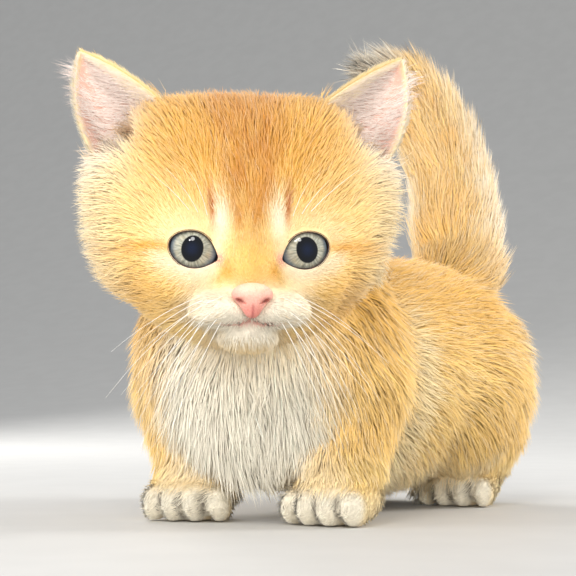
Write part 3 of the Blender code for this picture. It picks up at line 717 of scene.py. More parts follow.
        tail = blend(ways[index], ways[index + 1], at - index)
        return laid(self.mixed(reading, head, torso, leg, leg, tail), out)


@dataclass(frozen=True)
class Mark:
    """A soft spot of one tint on both sides of the head, in the head's frame."""

    name: str
    centre: Triple
    radii: Triple
    strength: float
    gain: float = 1.0


EYE_MARKS = (
    Mark("white", (0.0070, -0.0300, 0.0010), (0.0022, 0.02, 0.0052), 0.75),
    Mark("rust", (0.0092, -0.0250, 0.0042), (0.0007, 0.02, 0.0042), 1.0, 1.1),
)
FACE_MARKS = (
    Mark("gold", (0.0240, -0.012, -0.0150), (0.0090, 0.03, 0.0060), 0.75),
    Mark("gold", (0.0, -0.034, -0.0085), (0.0050, 0.02, 0.0050), 0.8),
    Mark("amber", (0.0056, -0.034, -0.0118), (0.0016, 0.02, 0.0020), 0.85),
)
JAW_MARKS = (Mark("gold", (0.0220, -0.006, -0.0210), (0.0100, 0.02, 0.0060), 0.5),)
EAR_MARKS = (
    Mark("cream", (0.0300, 0.002, 0.0120), (0.0060, 0.02, 0.0060), 0.7),
    Mark("down", (0.0300, 0.0010, 0.0195), (0.0070, 0.0110, 0.0075), 0.85, 1.4),
)
WHISKER_ROOTS = tuple(
    (0.0022 * column, 0.0020 * column, -0.0019 * row)
    for row, column in itertools.product(range(4), range(3))
)
WHISKER_MARKS = tuple(
    Mark("gold", (0.0074 + x, -0.0320 + y, -0.0176 + z), (0.0004, 0.004, 0.0004), 0.6)
    for x, y, z in WHISKER_ROOTS
)


@dataclass(frozen=True)
class Markings:
    """The tints of the kitten, worked out at any point of its skin or coat."""

    anatomy: Anatomy = Anatomy()
    gold: Shade = (238, 184, 94)
    pale_gold: Shade = (252, 212, 136)
    amber: Shade = (230, 164, 64)
    deep_amber: Shade = (206, 134, 48)
    rust: Shade = (186, 112, 58)
    cream: Shade = (251, 229, 182)
    white: Shade = (247, 240, 222)
    down: Shade = (248, 230, 220)
    # grey is the tone of the tail's end and, under the chin, painted shade.
    grey: Shade = (190, 180, 164)
    # Painted shade where the tail rises from the rump.
    tail_root_shade: Shade = (128, 98, 66)
    # Painted shade between the toes.
    dark: Shade = (52, 38, 28)
    lip: Shade = (204, 142, 130)
    corner: Shade = (222, 146, 134)
    shell: Shade = (238, 192, 174)
    blush: Shade = (228, 148, 136)
    brown: Shade = (92, 66, 48)

    def marked(self, base: Array, both: Array, marks: Iterable[Mark]) -> Array:
        """Lays soft spots over the head's tints.

        Args:
            base: The tints.
            both: The points in the head's frame, with its two sides folded together.
            marks: The spots.

        Returns:
            The tints with the spots on them.
        """
        for mark in marks:
            share = np.clip(spot(both, mark.centre, mark.radii) * mark.gain, 0.0, 1.0)
            base = layered(base, (getattr(self, mark.name), share * mark.strength))
        return base

    def head(self, reading: Reading) -> Array:
        """The tints of the head.

        Args:
            reading: The body's reading at the points.

        Returns:
            The linear tints, as rows.
        """
        own = reading.head_points
        x, y, z = own.T
        wide, both = np.abs(x), folded(own)
        streak = grain(own * (1.0, 0.35, 0.22), 0.0011, 3)
        top = step(z, 0.0000, 0.0160) * step(wide, 0.0290, 0.0120)
        width = np.interp(z, (-0.006, 0.004, 0.014, 0.028), (0.0030, 0.0052, 0.0075, 0.0100))
        band = step(wide / width, 1.35, 0.55) * step(z, -0.0090, 0.0020) * step(y, 0.012, -0.006)
        side_light = step(wide, 0.0100, 0.0190) * step(z, 0.0240, 0.0040) * step(z, -0.012, 0.002)
        eye_height = self.anatomy.eye_place[2]
        ring = step(reading.eye_away, 0.0130, 0.0092) * step(y, -0.010, -0.018)
        under_eye = step(z, eye_height + 0.002, eye_height - 0.004)
        base = layered(
            plain(self.pale_gold, len(own)),
            (self.gold, step(z, -0.004, 0.016) * 0.80),
            (self.amber, top * (0.62 + 0.20 * streak)),
            (self.deep_amber, np.clip(band * (0.62 + 0.42 * streak), 0, 1)),
            (self.cream, side_light * 0.15),
            (self.white, ring * (0.18 + 0.50 * under_eye)),
        )
        base = self.marked(base, both, EYE_MARKS)
        corner = spot(both, (0.0225, -0.016, -0.0056), (0.0050, 0.02, 0.0012))
        corner += 0.7 * spot(both, (0.0300, -0.010, -0.0066), (0.0060, 0.02, 0.0018))
        base = layered(base, (self.amber, np.clip(corner, 0.0, 1.0) * 0.9))
        base = self.marked(base, both, FACE_MARKS)
        muzzle = step(z, -0.0122, -0.0186) * step(wide, 0.0190, 0.0100) * step(y, -0.010, -0.018)
        muzzle *= 1.0 - step(z, -0.0238, -0.0255) * step(wide, 0.0045, 0.0085)
        under = step(z, -0.0180, -0.0230) * step(y, 0.012, -0.002) * step(wide, 0.0120, 0.0060)
        throat = step(z, -0.0262, -0.0305) * step(y, 0.012, -0.002)
        base = layered(
            base,
            (self.white, muzzle * 0.86),
            (self.white, under * 0.45),
            # The grey laid under the chin is painted shade.
            (self.grey, under * 0.35),
            (self.pale_gold, throat * 0.7),
        )
        base = self.marked(base, both, JAW_MARKS)
        base = layered(base, (self.cream, reading.cheek() * 0.35))
        return self.marked(base, both, (*EAR_MARKS, *WHISKER_MARKS))

    def torso(self, reading: Reading) -> Array:
        """The tints of the chest, barrel and rump.

        Args:
            reading: The body's reading at the points.

        Returns:
            The linear tints, as rows.
        """
        x, y, z = reading.points.T
        across = np.abs(x + 0.005)
        ridge = step(across, 0.016, 0.004) * step(z, 0.060, 0.070)
        band = np.exp(-(((y - 0.0300 - 0.10 * (0.05 - z)) / 0.0065) ** 2)) * step(z, 0.066, 0.045)
        breast = step(across, 0.0260, 0.0150) * step(y, 0.010, -0.006) * step(z, 0.066, 0.056)
        # root marks the painted shade on the rump where the tail rises from it.
        root = spot(reading.points, (0.008, 0.116, 0.076), (0.013, 0.012, 0.008))
        return layered(
            plain(self.gold, len(x)),
            (self.amber, ridge * 0.55),
            (self.pale_gold, step(z, 0.064, 0.036) * 0.80),
            (self.cream, band * 0.75),
            (self.cream, step(z, 0.024, 0.012) * 0.8),
            (self.white, breast * 0.95),
            (self.cream, reading.breeches() * 0.45),
            (self.tail_root_shade, root * 0.45),
        )

    def leg(self, reading: Reading, fore: bool) -> Array:
        """The tints of the legs and paws.

        Args:
            reading: The body's reading at the points.
            fore: Whether they are the forelegs.

        Returns:
            The linear tints, as rows.
        """
        x, y, z = reading.points.T
        toes, gaps = [], np.zeros(len(x))
        for side in SIDES.values():
            px, py = self.anatomy.paw_place(side, fore)
            turn = self.anatomy.paw_splay(side, fore)
            own_x = (x - px) * math.cos(turn) + (y - py) * math.sin(turn)
            own_y = (y - py) * math.cos(turn) - (x - px) * math.sin(turn)
            near = step(np.hypot(x - px, y - py), 0.0190, 0.0160)
            shown = step(own_y, -0.0040, -0.0080) * near * (0.35 + 0.65 * step(z, 0.0110, 0.0070))
            toes.append((self.white, shown * 0.85))
            # Dark lines in the gaps between the toes: painted shade in the creases.
            for place in (-0.0062, 0.0, 0.0062):
                seam = np.exp(-(((own_x - place) / 0.0007) ** 2)) * step(own_y, -0.0060, -0.0090)
                gaps = np.maximum(gaps, seam * near * step(z, 0.0095, 0.0070))
        inner = step(np.abs(x + 0.004), 0.018, 0.010) * step(z, 0.012, 0.02)
        return layered(
            plain(self.pale_gold, len(x)),
            (self.gold, step(z, 0.014, 0.030) * 0.6),
            (self.cream, step(z, 0.0115, 0.0060) * 0.7),
            *toes,
            (self.white, inner * 0.6),
            # Painted shade in the creases between the toes.
            (self.dark, gaps * 0.85),
        )

    def tail(self, reading: Reading) -> Array:
        """The tints of the tail.

        Args:
            reading: The body's reading at the points.

        Returns:
            The linear tints, as rows.
        """
        along = reading.along_tail
        streak = grain(reading.points * (1.0, 1.0, 0.25), 0.0016, 11)
        mark = step(along, 0.84, 0.93) * step(reading.points[:, 2], 0.1475, 0.1455)
        return layered(
            plain(self.pale_gold, len(along)),
            (self.amber, np.clip(0.34 + 0.34 * streak, 0.0, 1.0)),
            # Painted shade on the first part of the tail, where it leaves the rump.
            (self.tail_root_shade, step(along, 0.14, 0.04) * 0.35),
            (self.grey, step(along, 0.76, 0.90) * 0.55),
            (self.brown, mark * 0.7),
        )

    def coat(self, body: Body, reading: Reading) -> Array:
        """The tint of the coat at each point.

        Args:
            body: The body's fields.
            reading: Their reading at the points.

        Returns:
            The linear tints, as rows.
        """
        legs = (self.leg(reading, True), self.leg(reading, False))
        head, torso, tail = self.head(reading), self.torso(reading), self.tail(reading)
        places = reading.points
        patches = 1.0 + 0.05 * grain(places, 0.0080, 5) + 0.05 * grain(places, 0.0026, 6)
        return body.mixed(reading, head, torso, *legs, tail) * patches[:, None]

    def tip(self, reading: Reading) -> Array:
        """How far the tips of the hair fade to white at each point."""
        share = 0.10 + 0.34 * reading.cheek() + 0.34 * reading.breeches() + 0.20 * reading.bib()
        stations = np.array(self.anatomy.tail().stations)
        middle = np.interp(reading.along_tail, np.linspace(0.0, 1.0, len(stations)), stations[:, 0])
        # Whiter tips on both sides of the tail are partly a real pale fringe and partly painted rim
        # light.
        edge = step(np.abs(reading.points[:, 0] - middle), 0.0040, 0.0100)
        along = reading.along_tail
        reach = 0.30 + 1.50 * edge + 1.1 * step(along, 0.76, 0.90)
        tail = reading.shares[Zone.TAIL] * step(along, 0.02, 0.20) * reach
        band = reading.shares[Zone.HEAD] * step(reading.nose_away, 0.020, 0.034)
        return np.clip(share + 0.52 * tail + 0.05 * band, 0.0, 1.0)


def new_object(name: str, data: bpy.types.ID) -> Object:
    """Links an object of this mesh, light or camera to the scene."""
    obj = bpy.data.objects.new(name, data)
    bpy.context.scene.collection.objects.link(obj)
    return obj


def mesh_of(bm: BMesh, name: str = "shape") -> Mesh:
    """Turns a bmesh into a mesh and frees it."""
    mesh = bpy.data.meshes.new(name)
    bm.to_mesh(mesh)
    bm.free()
    return mesh


def settle(obj: Object) -> Object:
    """Applies the object's modifiers."""
    graph = bpy.context.evaluated_depsgraph_get()
    mesh = bpy.data.meshes.new_from_object(obj.evaluated_get(graph))
    obj.modifiers.clear()
    obj.data = mesh
    return obj


def points_of(mesh: Mesh) -> Array:
    """The mesh's points, as rows."""
    return values_of(mesh.vertices, "co", 3).astype(float)


def move_points(mesh: Mesh, points: Array) -> None:
    """Gives the mesh these points."""
    mesh.vertices.foreach_set("co", points.astype(np.float32).ravel())
    mesh.update()


def values_of(items: Any, name: str, width: int, kind: type = np.float32) -> Array:
    """Reads one value of each item of a mesh.

    Args:
        items: The mesh's points, faces or the like.
        name: The value's name.
        width: How many numbers it has.
        kind: The kind of number.

    Returns:
        The values, as rows.
    """
    flat = np.empty(len(items) * width, kind)
    items.foreach_get(name, flat)
    return flat.reshape(-1, width)


def boolean(obj: Object, other: Object, operation: str) -> Object:
    """Joins or cuts the object with another one, which is then removed.

    Args:
        obj: What is changed.
        other: What joins or cuts it.
        operation: UNION or DIFFERENCE.

    Returns:
        The changed object.
    """
    change = obj.modifiers.new(operation, "BOOLEAN")
    change.operation = operation
    change.object = other
    change.solver = "MANIFOLD"
    settle(obj)
    bpy.data.objects.remove(other)
    return obj


def ordered(mesh: Mesh) -> Mesh:
    """The same mesh with its faces in an order that doesn't change from run to run."""
    faces = []
    for face in mesh.polygons:
        corners = list(face.vertices)
        first = corners.index(min(corners))
        faces.append(corners[first:] + corners[:first])
    fixed = bpy.data.meshes.new("shape")
    fixed.from_pydata(points_of(mesh), [], sorted(faces))
    return fixed


def ball(matrix: Matrix, radii: Sequence[float], segments: int, rings: int) -> Mesh:
    """The mesh of a closed ball or ellipsoid set in a frame."""
    bm = bmesh.new()
    place = matrix @ Matrix.Diagonal((*radii, 1.0))
    bmesh.ops.create_uvsphere(bm, u_segments=segments, v_segments=rings, radius=1.0, matrix=place)
    return ordered(mesh_of(bm))


def walled(bm: BMesh, loops: Sequence[Sequence[bmesh.types.BMVert]]) -> None:
    """Joins each ring of points with the next by a wall of faces."""
    for first, second in itertools.pairwise(loops):
        for index in range(len(first)):
            after = (index + 1) % len(first)
            bm.faces.new((first[index], first[after], second[after], second[index]))


def closed(name: str, bm: BMesh) -> Object:
    """Turns a closed bmesh into an object whose faces point outwards."""
    bm.normal_update()
    bmesh.ops.recalc_face_normals(bm, faces=bm.faces)
    return new_object(name, mesh_of(bm))


def tube(name: str, path: Array, radius: float, sides: int = 8) -> Object:
    """A closed round tube along a path, which ends in points.

    Args:
        name: The object's name.
        path: The points of its middle line, as rows.
        radius: Its radius.
        sides: How many sides it has.

    Returns:
        The tube's object.
    """
    bm = bmesh.new()
    rings = []
    ways = np.gradient(path, axis=0)
    for place, way in zip(path[1:-1], ways[1:-1]):
        turn = Vector(way).to_track_quat("Z", "Y").to_matrix()
        ring = []
        for index in range(sides):
            angle = math.tau * index / sides
            offset = turn @ Vector((math.cos(angle) * radius, math.sin(angle) * radius, 0.0))
            ring.append(bm.verts.new(Vector(place) + offset))
        rings.append(ring)
    walled(bm, rings)
    for ring, end in ((rings[0], path[0]), (rings[-1], path[-1])):
        tip = bm.verts.new(Vector(end))
        for index in range(sides):
            bm.faces.new((ring[index], ring[(index + 1) % sides], tip))
    return closed(name, bm)


def fleshed(name: str, matrices: Iterable[Matrix], voxel: float) -> Object:
    """One closed skin round many balls.

    Args:
        name: The object's name.
        matrices: The unit-ball matrices.
        voxel: The size of the skin's facets.

    Returns:
        The skin's object.
    """
    bm = bmesh.new()
    bmesh.ops.create_uvsphere(bm, u_segments=24, v_segments=14, radius=1.0)
    bmesh.ops.triangulate(bm, faces=bm.faces)
    points = np.array([vert.co for vert in bm.verts])
    facets = np.array([[vert.index for vert in face.verts] for face in bm.faces])
    bm.free()
    places = [points @ np.array(matrix)[:3, :3].T + np.array(matrix)[:3, 3] for matrix in matrices]
    shells = [facets + index * len(points) for index in range(len(places))]
    obj = new_object(name, mesh_from(name, np.concatenate(places), np.concatenate(shells)))
    remesh = obj.modifiers.new("Remesh", "REMESH")
    remesh.mode = "VOXEL"
    remesh.voxel_size = voxel
    return settle(obj)


def smoothed(obj: Object, rounds: int) -> Object:
    """Relaxes the object's facets."""
    smooth = obj.modifiers.new("Smooth", "SMOOTH")
    smooth.factor = 0.5
    smooth.iterations = rounds
    return settle(obj)


def paint(mesh: Mesh, name: str, tints: Array) -> None:
    """Writes a tint at each point of the mesh, as a named attribute."""
    layer = mesh.color_attributes.new(name, "FLOAT_COLOR", "POINT")
    colours = np.ones((len(mesh.vertices), 4), np.float32)
    colours[:, :3] = np.clip(tints, 0.0, 1.0)
    layer.data.foreach_set("color", colours.ravel())


@dataclass(frozen=True)
class Placement:
    """Moves a finished mesh from the maker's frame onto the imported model."""

    anatomy: Anatomy = Anatomy()

    def shift(self) -> Vector:
        """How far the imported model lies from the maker's frame."""
        low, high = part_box("eye_left")
        return (low + high) / 2 - self.anatomy.eye_matrix(1.0).translation

    def finish(
        self,
        obj: Object,
        material: Material,
        replaced: Sequence[str] = (),
    ) -> Object:
        """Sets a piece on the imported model, dresses it and ties it to the body.

        Args:
            obj: The piece, in the maker's frame.
            material: Its finish.
            replaced: The nodes that it stands for.

        Returns:
            The piece.
        """
        obj.data.transform(Matrix.Translation(self.shift()))
        obj.data.materials.clear()
        obj.data.materials.append(material)
        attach(obj, "root")
        if replaced:
            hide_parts(*replaced)
        log.info("%s: %d faces", obj.name, len(obj.data.polygons))
        return obj


class Wire:
    """A number in a material: an output socket that takes part in plain sums."""

    def __init__(self, desk: "Desk", socket: Socket) -> None:
        """Keeps the socket and the desk that holds its nodes."""
        self.desk = desk
        self.socket = socket

    def math(self, operation: str, *others: Any) -> "Wire":
        """Feeds this number and others to a Math node."""
        inputs = {index: value for index, value in enumerate((self, *others))}
        return self.desk.wire("ShaderNodeMath", {"operation": operation}, inputs)

    def __add__(self, other: Any) -> "Wire":
        """Adds."""
        return self.math("ADD", other)

    __radd__ = __add__

    def __mul__(self, other: Any) -> "Wire":
        """Multiplies."""
        return self.math("MULTIPLY", other)

    __rmul__ = __mul__

    def __sub__(self, other: Any) -> "Wire":
        """Takes away."""
        return self.math("SUBTRACT", other)

    def __rsub__(self, other: float) -> "Wire":
        """Takes this away from a number."""
        return self.desk.wire("ShaderNodeMath", {"operation": "SUBTRACT"}, {0: other, 1: self})

    def __truediv__(self, other: Any) -> "Wire":
        """Divides."""
        return self.math("DIVIDE", other)

    def __pow__(self, other: Any) -> "Wire":
        """Raises to a power."""
        return self.math("POWER", other)

    def between(self, low: float, high: float) -> "Wire":
        """A smooth rise from 0 at low to 1 at high."""
        settings = {"interpolation_type": "SMOOTHSTEP"}
        inputs = {"Value": self, "From Min": low, "From Max": high}
        return self.desk.wire("ShaderNodeMapRange", settings, inputs)


class Desk:
    """One material under construction, with its shader and the nodes that feed it."""

    def __init__(self, name: str) -> None:
        """Starts a material of this name."""
        self.material = bpy.data.materials.new(name)
        self.material.use_nodes = True
        self.tree = self.material.node_tree
        self.shader = self.tree.nodes["Principled BSDF"]

    def node(self, kind: str, settings: Named = None, inputs: Named = None) -> bpy.types.Node:
        """Adds a node of any kind.

        Args:
            kind: The node's type.
            settings: Its settings, which are set first.
            inputs: The value or the wire of each socket, by name or number.

        Returns:
            The node.
        """
        made = self.tree.nodes.new(kind)
        for name, value in (settings or {}).items():
            setattr(made, name, value)
        for key, value in (inputs or {}).items():
            self.feed(made.inputs[key], value)
        return made

    def feed(self, socket: Socket, value: Any) -> None:
        """Links or sets one input socket."""
        if isinstance(value, Wire):
            self.tree.links.new(value.socket, socket)
        elif isinstance(value, Socket):
            self.tree.links.new(value, socket)
        elif isinstance(value, (tuple, list, Array)) and len(socket.default_value) > len(value):
            socket.default_value = (*value, 1.0)
        else:
            socket.default_value = value

    def wire(self, kind: str, settings: Named = None, inputs: Named = None) -> "Wire":
        """Adds a node and returns its first output as a wire."""
        return Wire(self, self.node(kind, settings, inputs).outputs[0])

    def mix(self, share: Any, first: Any, second: Any) -> Socket:
        """Mixes two colours by a share."""
        made = self.node("ShaderNodeMix", {"data_type": "RGBA"})
        self.feed(made.inputs["Factor"], share)
        self.feed(made.inputs[6], first)
        self.feed(made.inputs[7], second)
        return made.outputs[2]

    def noise(self, vector: Any, scale: float, detail: float = 2.0) -> Wire:
        """Soft noise over a vector."""
        inputs = {"Vector": vector, "Scale": scale, "Detail": detail}
        return self.wire("ShaderNodeTexNoise", None, inputs)

    def darker(self, colour: Any, saturation: float, value: float) -> Socket:
        """A deeper shade of a colour."""
        inputs = {"Saturation": saturation, "Value": value, "Color": colour}
        return self.node("ShaderNodeHueSaturation", None, inputs).outputs[0]

    def place(self) -> Socket:
        """The piece's own coordinates, in metres."""
        return self.node("ShaderNodeTexCoord").outputs["Object"]

    def attribute(self, name: str) -> Socket:
        """The tint that is kept at the piece's points under a name."""
        settings = {"attribute_type": "GEOMETRY", "attribute_name": name}
        return self.node("ShaderNodeAttribute", settings).outputs["Color"]

    def bump(self, height: Wire, distance: float, strength: float = 1.0) -> None:
        """Raises the surface by a height."""
        inputs = {"Height": height, "Distance": distance, "Strength": strength}
        raised = self.node("ShaderNodeBump", None, inputs)
        self.feed(self.shader.inputs["Normal"], raised.outputs[0])

    def set(self, **values: Any) -> None:
        """Sets the shader's own sockets, whose names have spaces for underscores."""
        for name, value in values.items():
            self.feed(self.shader.inputs[name.replace("_", " ")], value)


@dataclass(frozen=True)
class CoatFinish:
    """Soft hair: the tint kept at its points, with fine changes along and across."""

    name: str = "hair"
    roughness: float = 0.58
    sheen: float = 0.12

    def make(self) -> Material:
        """Builds the finish."""
        desk = Desk(self.name)
        shade = desk.noise(desk.place(), 900.0).between(0.30, 0.70)
        own = desk.attribute("tint")
        desk.set(
            Base_Color=desk.mix(shade, desk.darker(own, 1.06, 0.94), own),
            Roughness=self.roughness,
            Sheen_Weight=self.sheen,
            Sheen_Roughness=0.45,
            Specular_IOR_Level=0.32,
        )
        return desk.material


@dataclass(frozen=True)
class SkinFinish:
    """Skin under short hair: the same tints, with a fine nap."""

    name: str = "skin"
    nap: float = 0.00018

    def make(self) -> Material:
        """Builds the finish."""
        desk = Desk(self.name)
        place = desk.place()
        fine = desk.noise(place, 1600.0, 3.0)
        broad = desk.noise(place, 260.0)
        own = desk.attribute("tint")
        patch = (fine * 0.6 + broad * 0.4).between(0.35, 0.65)
        desk.set(
            Base_Color=desk.mix(patch, desk.darker(own, 1.04, 0.90), own),
            Roughness=fine * 0.12 + 0.58,
            Sheen_Weight=0.15,
            Specular_IOR_Level=0.35,
        )
        desk.bump(fine + broad * 0.8, self.nap)
        return desk.material


@dataclass(frozen=True)
class EyeFinish:
    """A wet eye: oval pupil, fibrous iris, blue-grey ring and a dark white."""

    name: str = "eye_wet"
    pupil: tuple[float, float] = (0.335, 0.405)
    iris: float = 0.735

    def make(self) -> Material:
        """Builds the finish, which reads the eye's own map."""
        desk = Desk(self.name)
        chart = desk.node("ShaderNodeUVMap", {"uv_map": "eye_map"}).outputs[0]
        parts = desk.node("ShaderNodeSeparateXYZ", None, {0: chart})
        across = Wire(desk, parts.outputs[0]) * 2.0 - 1.0
        up = Wire(desk, parts.outputs[1]) * 2.0 - 1.0
        away = (across * across + up * up).math("SQRT")
        oval = ((across / self.pupil[0]) ** 2.0 + (up / self.pupil[1]) ** 2.0).math("SQRT")
        places = {0: across / away, 1: up / away, 2: away * 0.35}
        ring = desk.node("ShaderNodeCombineXYZ", None, places)
        fibres = desk.noise(ring.outputs[0], 9.0, 4.0)
        blotch = desk.noise(chart, 12.0, 2.0)
        light = desk.mix(fibres.between(0.32, 0.68), tint(126, 128, 116), tint(190, 188, 170))
        warm = desk.mix(blotch.between(0.40, 0.70) * 0.4, light, tint(184, 170, 138))
        outer = desk.mix(away.between(0.50, self.iris), warm, tint(116, 130, 142))
        rim = desk.mix(away.between(self.iris - 0.055, self.iris + 0.03), outer, tint(30, 36, 48))
        white = desk.mix(away.between(self.iris + 0.02, self.iris + 0.09), rim, tint(112, 84, 76))
        # The pupil's navy middle, fading to near black at its edge, is a painted reflection.
        deep = desk.mix(away.between(0.30, 0.0), tint(2, 4, 9), tint(9, 20, 44))
        edge = oval.between(1.05, 0.94)
        desk.set(
            Base_Color=desk.mix(edge, white, deep),
            Roughness=0.06,
            Specular_IOR_Level=0.05,
            Coat_Weight=1.0,
            Coat_Roughness=0.01,
            Coat_IOR=1.44,
        )
        return desk.material


@dataclass(frozen=True)
class NoseFinish:
    """Pink, pebbled nose leather, darker in its nostrils."""

    name: str = "nose_leather"

    def make(self) -> Material:
        """Builds the finish."""
        desk = Desk(self.name)
        place = desk.place()
        inputs = {"Vector": place, "Scale": 2600.0}
        pebbles = desk.wire("ShaderNodeTexVoronoi", {"feature": "F1"}, inputs)
        broad = desk.noise(place, 420.0, 3.0)
        own = desk.attribute("tint")
        patch = (broad * 0.7 + pebbles * 0.4).between(0.35, 0.75)
        desk.set(
            Base_Color=desk.mix(patch, own, desk.darker(own, 1.08, 0.88)),
            Roughness=broad * 0.20 + 0.40,
            Coat_Weight=0.10,
            Coat_Roughness=0.35,
            Subsurface_Weight=0.15,
        )
        desk.shader.inputs["Subsurface Radius"].default_value = (0.0012, 0.0005, 0.0003)
        desk.bump(pebbles, 0.00008)
        return desk.material


@dataclass(frozen=True)
class PlainFinish:
    """A quiet finish of two near tints, for lid rims and whiskers."""

    name: str
    first: Shade
    second: Shade
    scale: float
    roughness: float

    def make(self) -> Material:
        """Builds the finish."""
        desk = Desk(self.name)
        patch = desk.noise(desk.place(), self.scale, 3.0)
        desk.set(
            Base_Color=desk.mix(patch.between(0.35, 0.65), tint(*self.first), tint(*self.second)),
            Roughness=patch * 0.1 + self.roughness,
        )
        desk.bump(patch, 0.00004)
        return desk.material


@dataclass(frozen=True)
class Ear:
    """The sizes of one ear, in the head's frame, for the left side."""

    inner_root: Triple = (0.0165, 0.0055, 0.0275)
    outer_root: Triple = (0.0350, 0.0075, 0.0120)
    tip: Triple = (0.0425, 0.0050, 0.0445)
    inner_bulge: float = 0.0016
    outer_bulge: float = 0.0042
    cup_depth: float = 0.0085
    thickness: float = 0.0009
    columns: int = 29
    rows: int = 33
    root_depth: float = 0.26
    reach: float = 0.01

    def edge(self, root: Array, bulge: float, up: Array) -> Array:
        """Points of one edge, from its root at 0 to the tip at 1."""
        way = np.array(self.tip) - root
        away = np.cross(way, np.array([0.0, 1.0, 0.0]))
        away /= np.linalg.norm(away)
        return root + way * up[:, None] + away * (bulge * 4.0 * up * (1.0 - up))[:, None]

    def sheet(self, across: Array, up: Array, side: float) -> Array:
        """Points of the ear's middle sheet, in the head's frame.

        Args:
            across: From -1 at the inner edge to 1 at the outer.
            up: From the root at 0 to the tip at 1, and less inside the head.
            side: 1 for the left ear, -1 for the right.

        Returns:
            The points, as rows.
        """
        rise = np.maximum(up, 0.0)
        shown = np.minimum(rise, 0.985)
        inner_root, outer_root = np.array(self.inner_root), np.array(self.outer_root)
        inner = self.edge(inner_root, self.inner_bulge, shown)
        outer = self.edge(outer_root, -self.outer_bulge, shown)
        spots = blend(inner, outer, (across + 1.0) / 2)
        spots = spots + (np.array(self.tip) - (inner_root + outer_root) / 2) * (up - rise)[:, None]
        cup = self.cup_depth * (1.0 - across**2) * (1.0 - rise) ** 0.7
        fold = 0.0030 * np.maximum(0.0, across) ** 2 * (1.0 - rise)
        spots[:, 1] += cup - fold - 0.0030 * np.sin(math.pi * rise)
        spots[:, 0] *= side
        return spots

    def ways(self, across: Array, up: Array, side: float) -> tuple[Array, Array]:
        """The ways across and up the sheet at each place, in the head's frame."""
        wide = self.sheet(across + self.reach, up, side) - self.sheet(across - self.reach, up, side)
        tall = self.sheet(across, up + self.reach, side) - self.sheet(across, up - self.reach, side)
        return wide, tall

    def facing(self, across: Array, up: Array, side: float) -> Array:
        """The way that the ear's open face looks at each place, in the head's frame."""
        return unit(np.cross(*self.ways(across, up, side))) * side

    def build(self, side: float, matrix: Matrix) -> Object:
        """Makes the ear's shell, closed.

        Args:
            side: 1 for the left ear, -1 for the right.
            matrix: Takes the head's frame into the maker's.

        Returns:
            The shell, in the maker's frame.
        """
        bm = bmesh.new()
        bmesh.ops.create_grid(bm, x_segments=self.columns, y_segments=self.rows, size=1.0)
        grid = np.array([vert.co for vert in bm.verts])
        up = (grid[:, 1] + 1.0) / 2 * (1.0 + self.root_depth) - self.root_depth
        for vert, place in zip(bm.verts, self.sheet(grid[:, 0], up, side)):
            vert.co = matrix @ Vector(place)
        obj = closed("ear_shell", bm)
        shell = obj.modifiers.new("Solidify", "SOLIDIFY")
        shell.thickness = self.thickness
        shell.offset = 0.0
        return settle(obj)


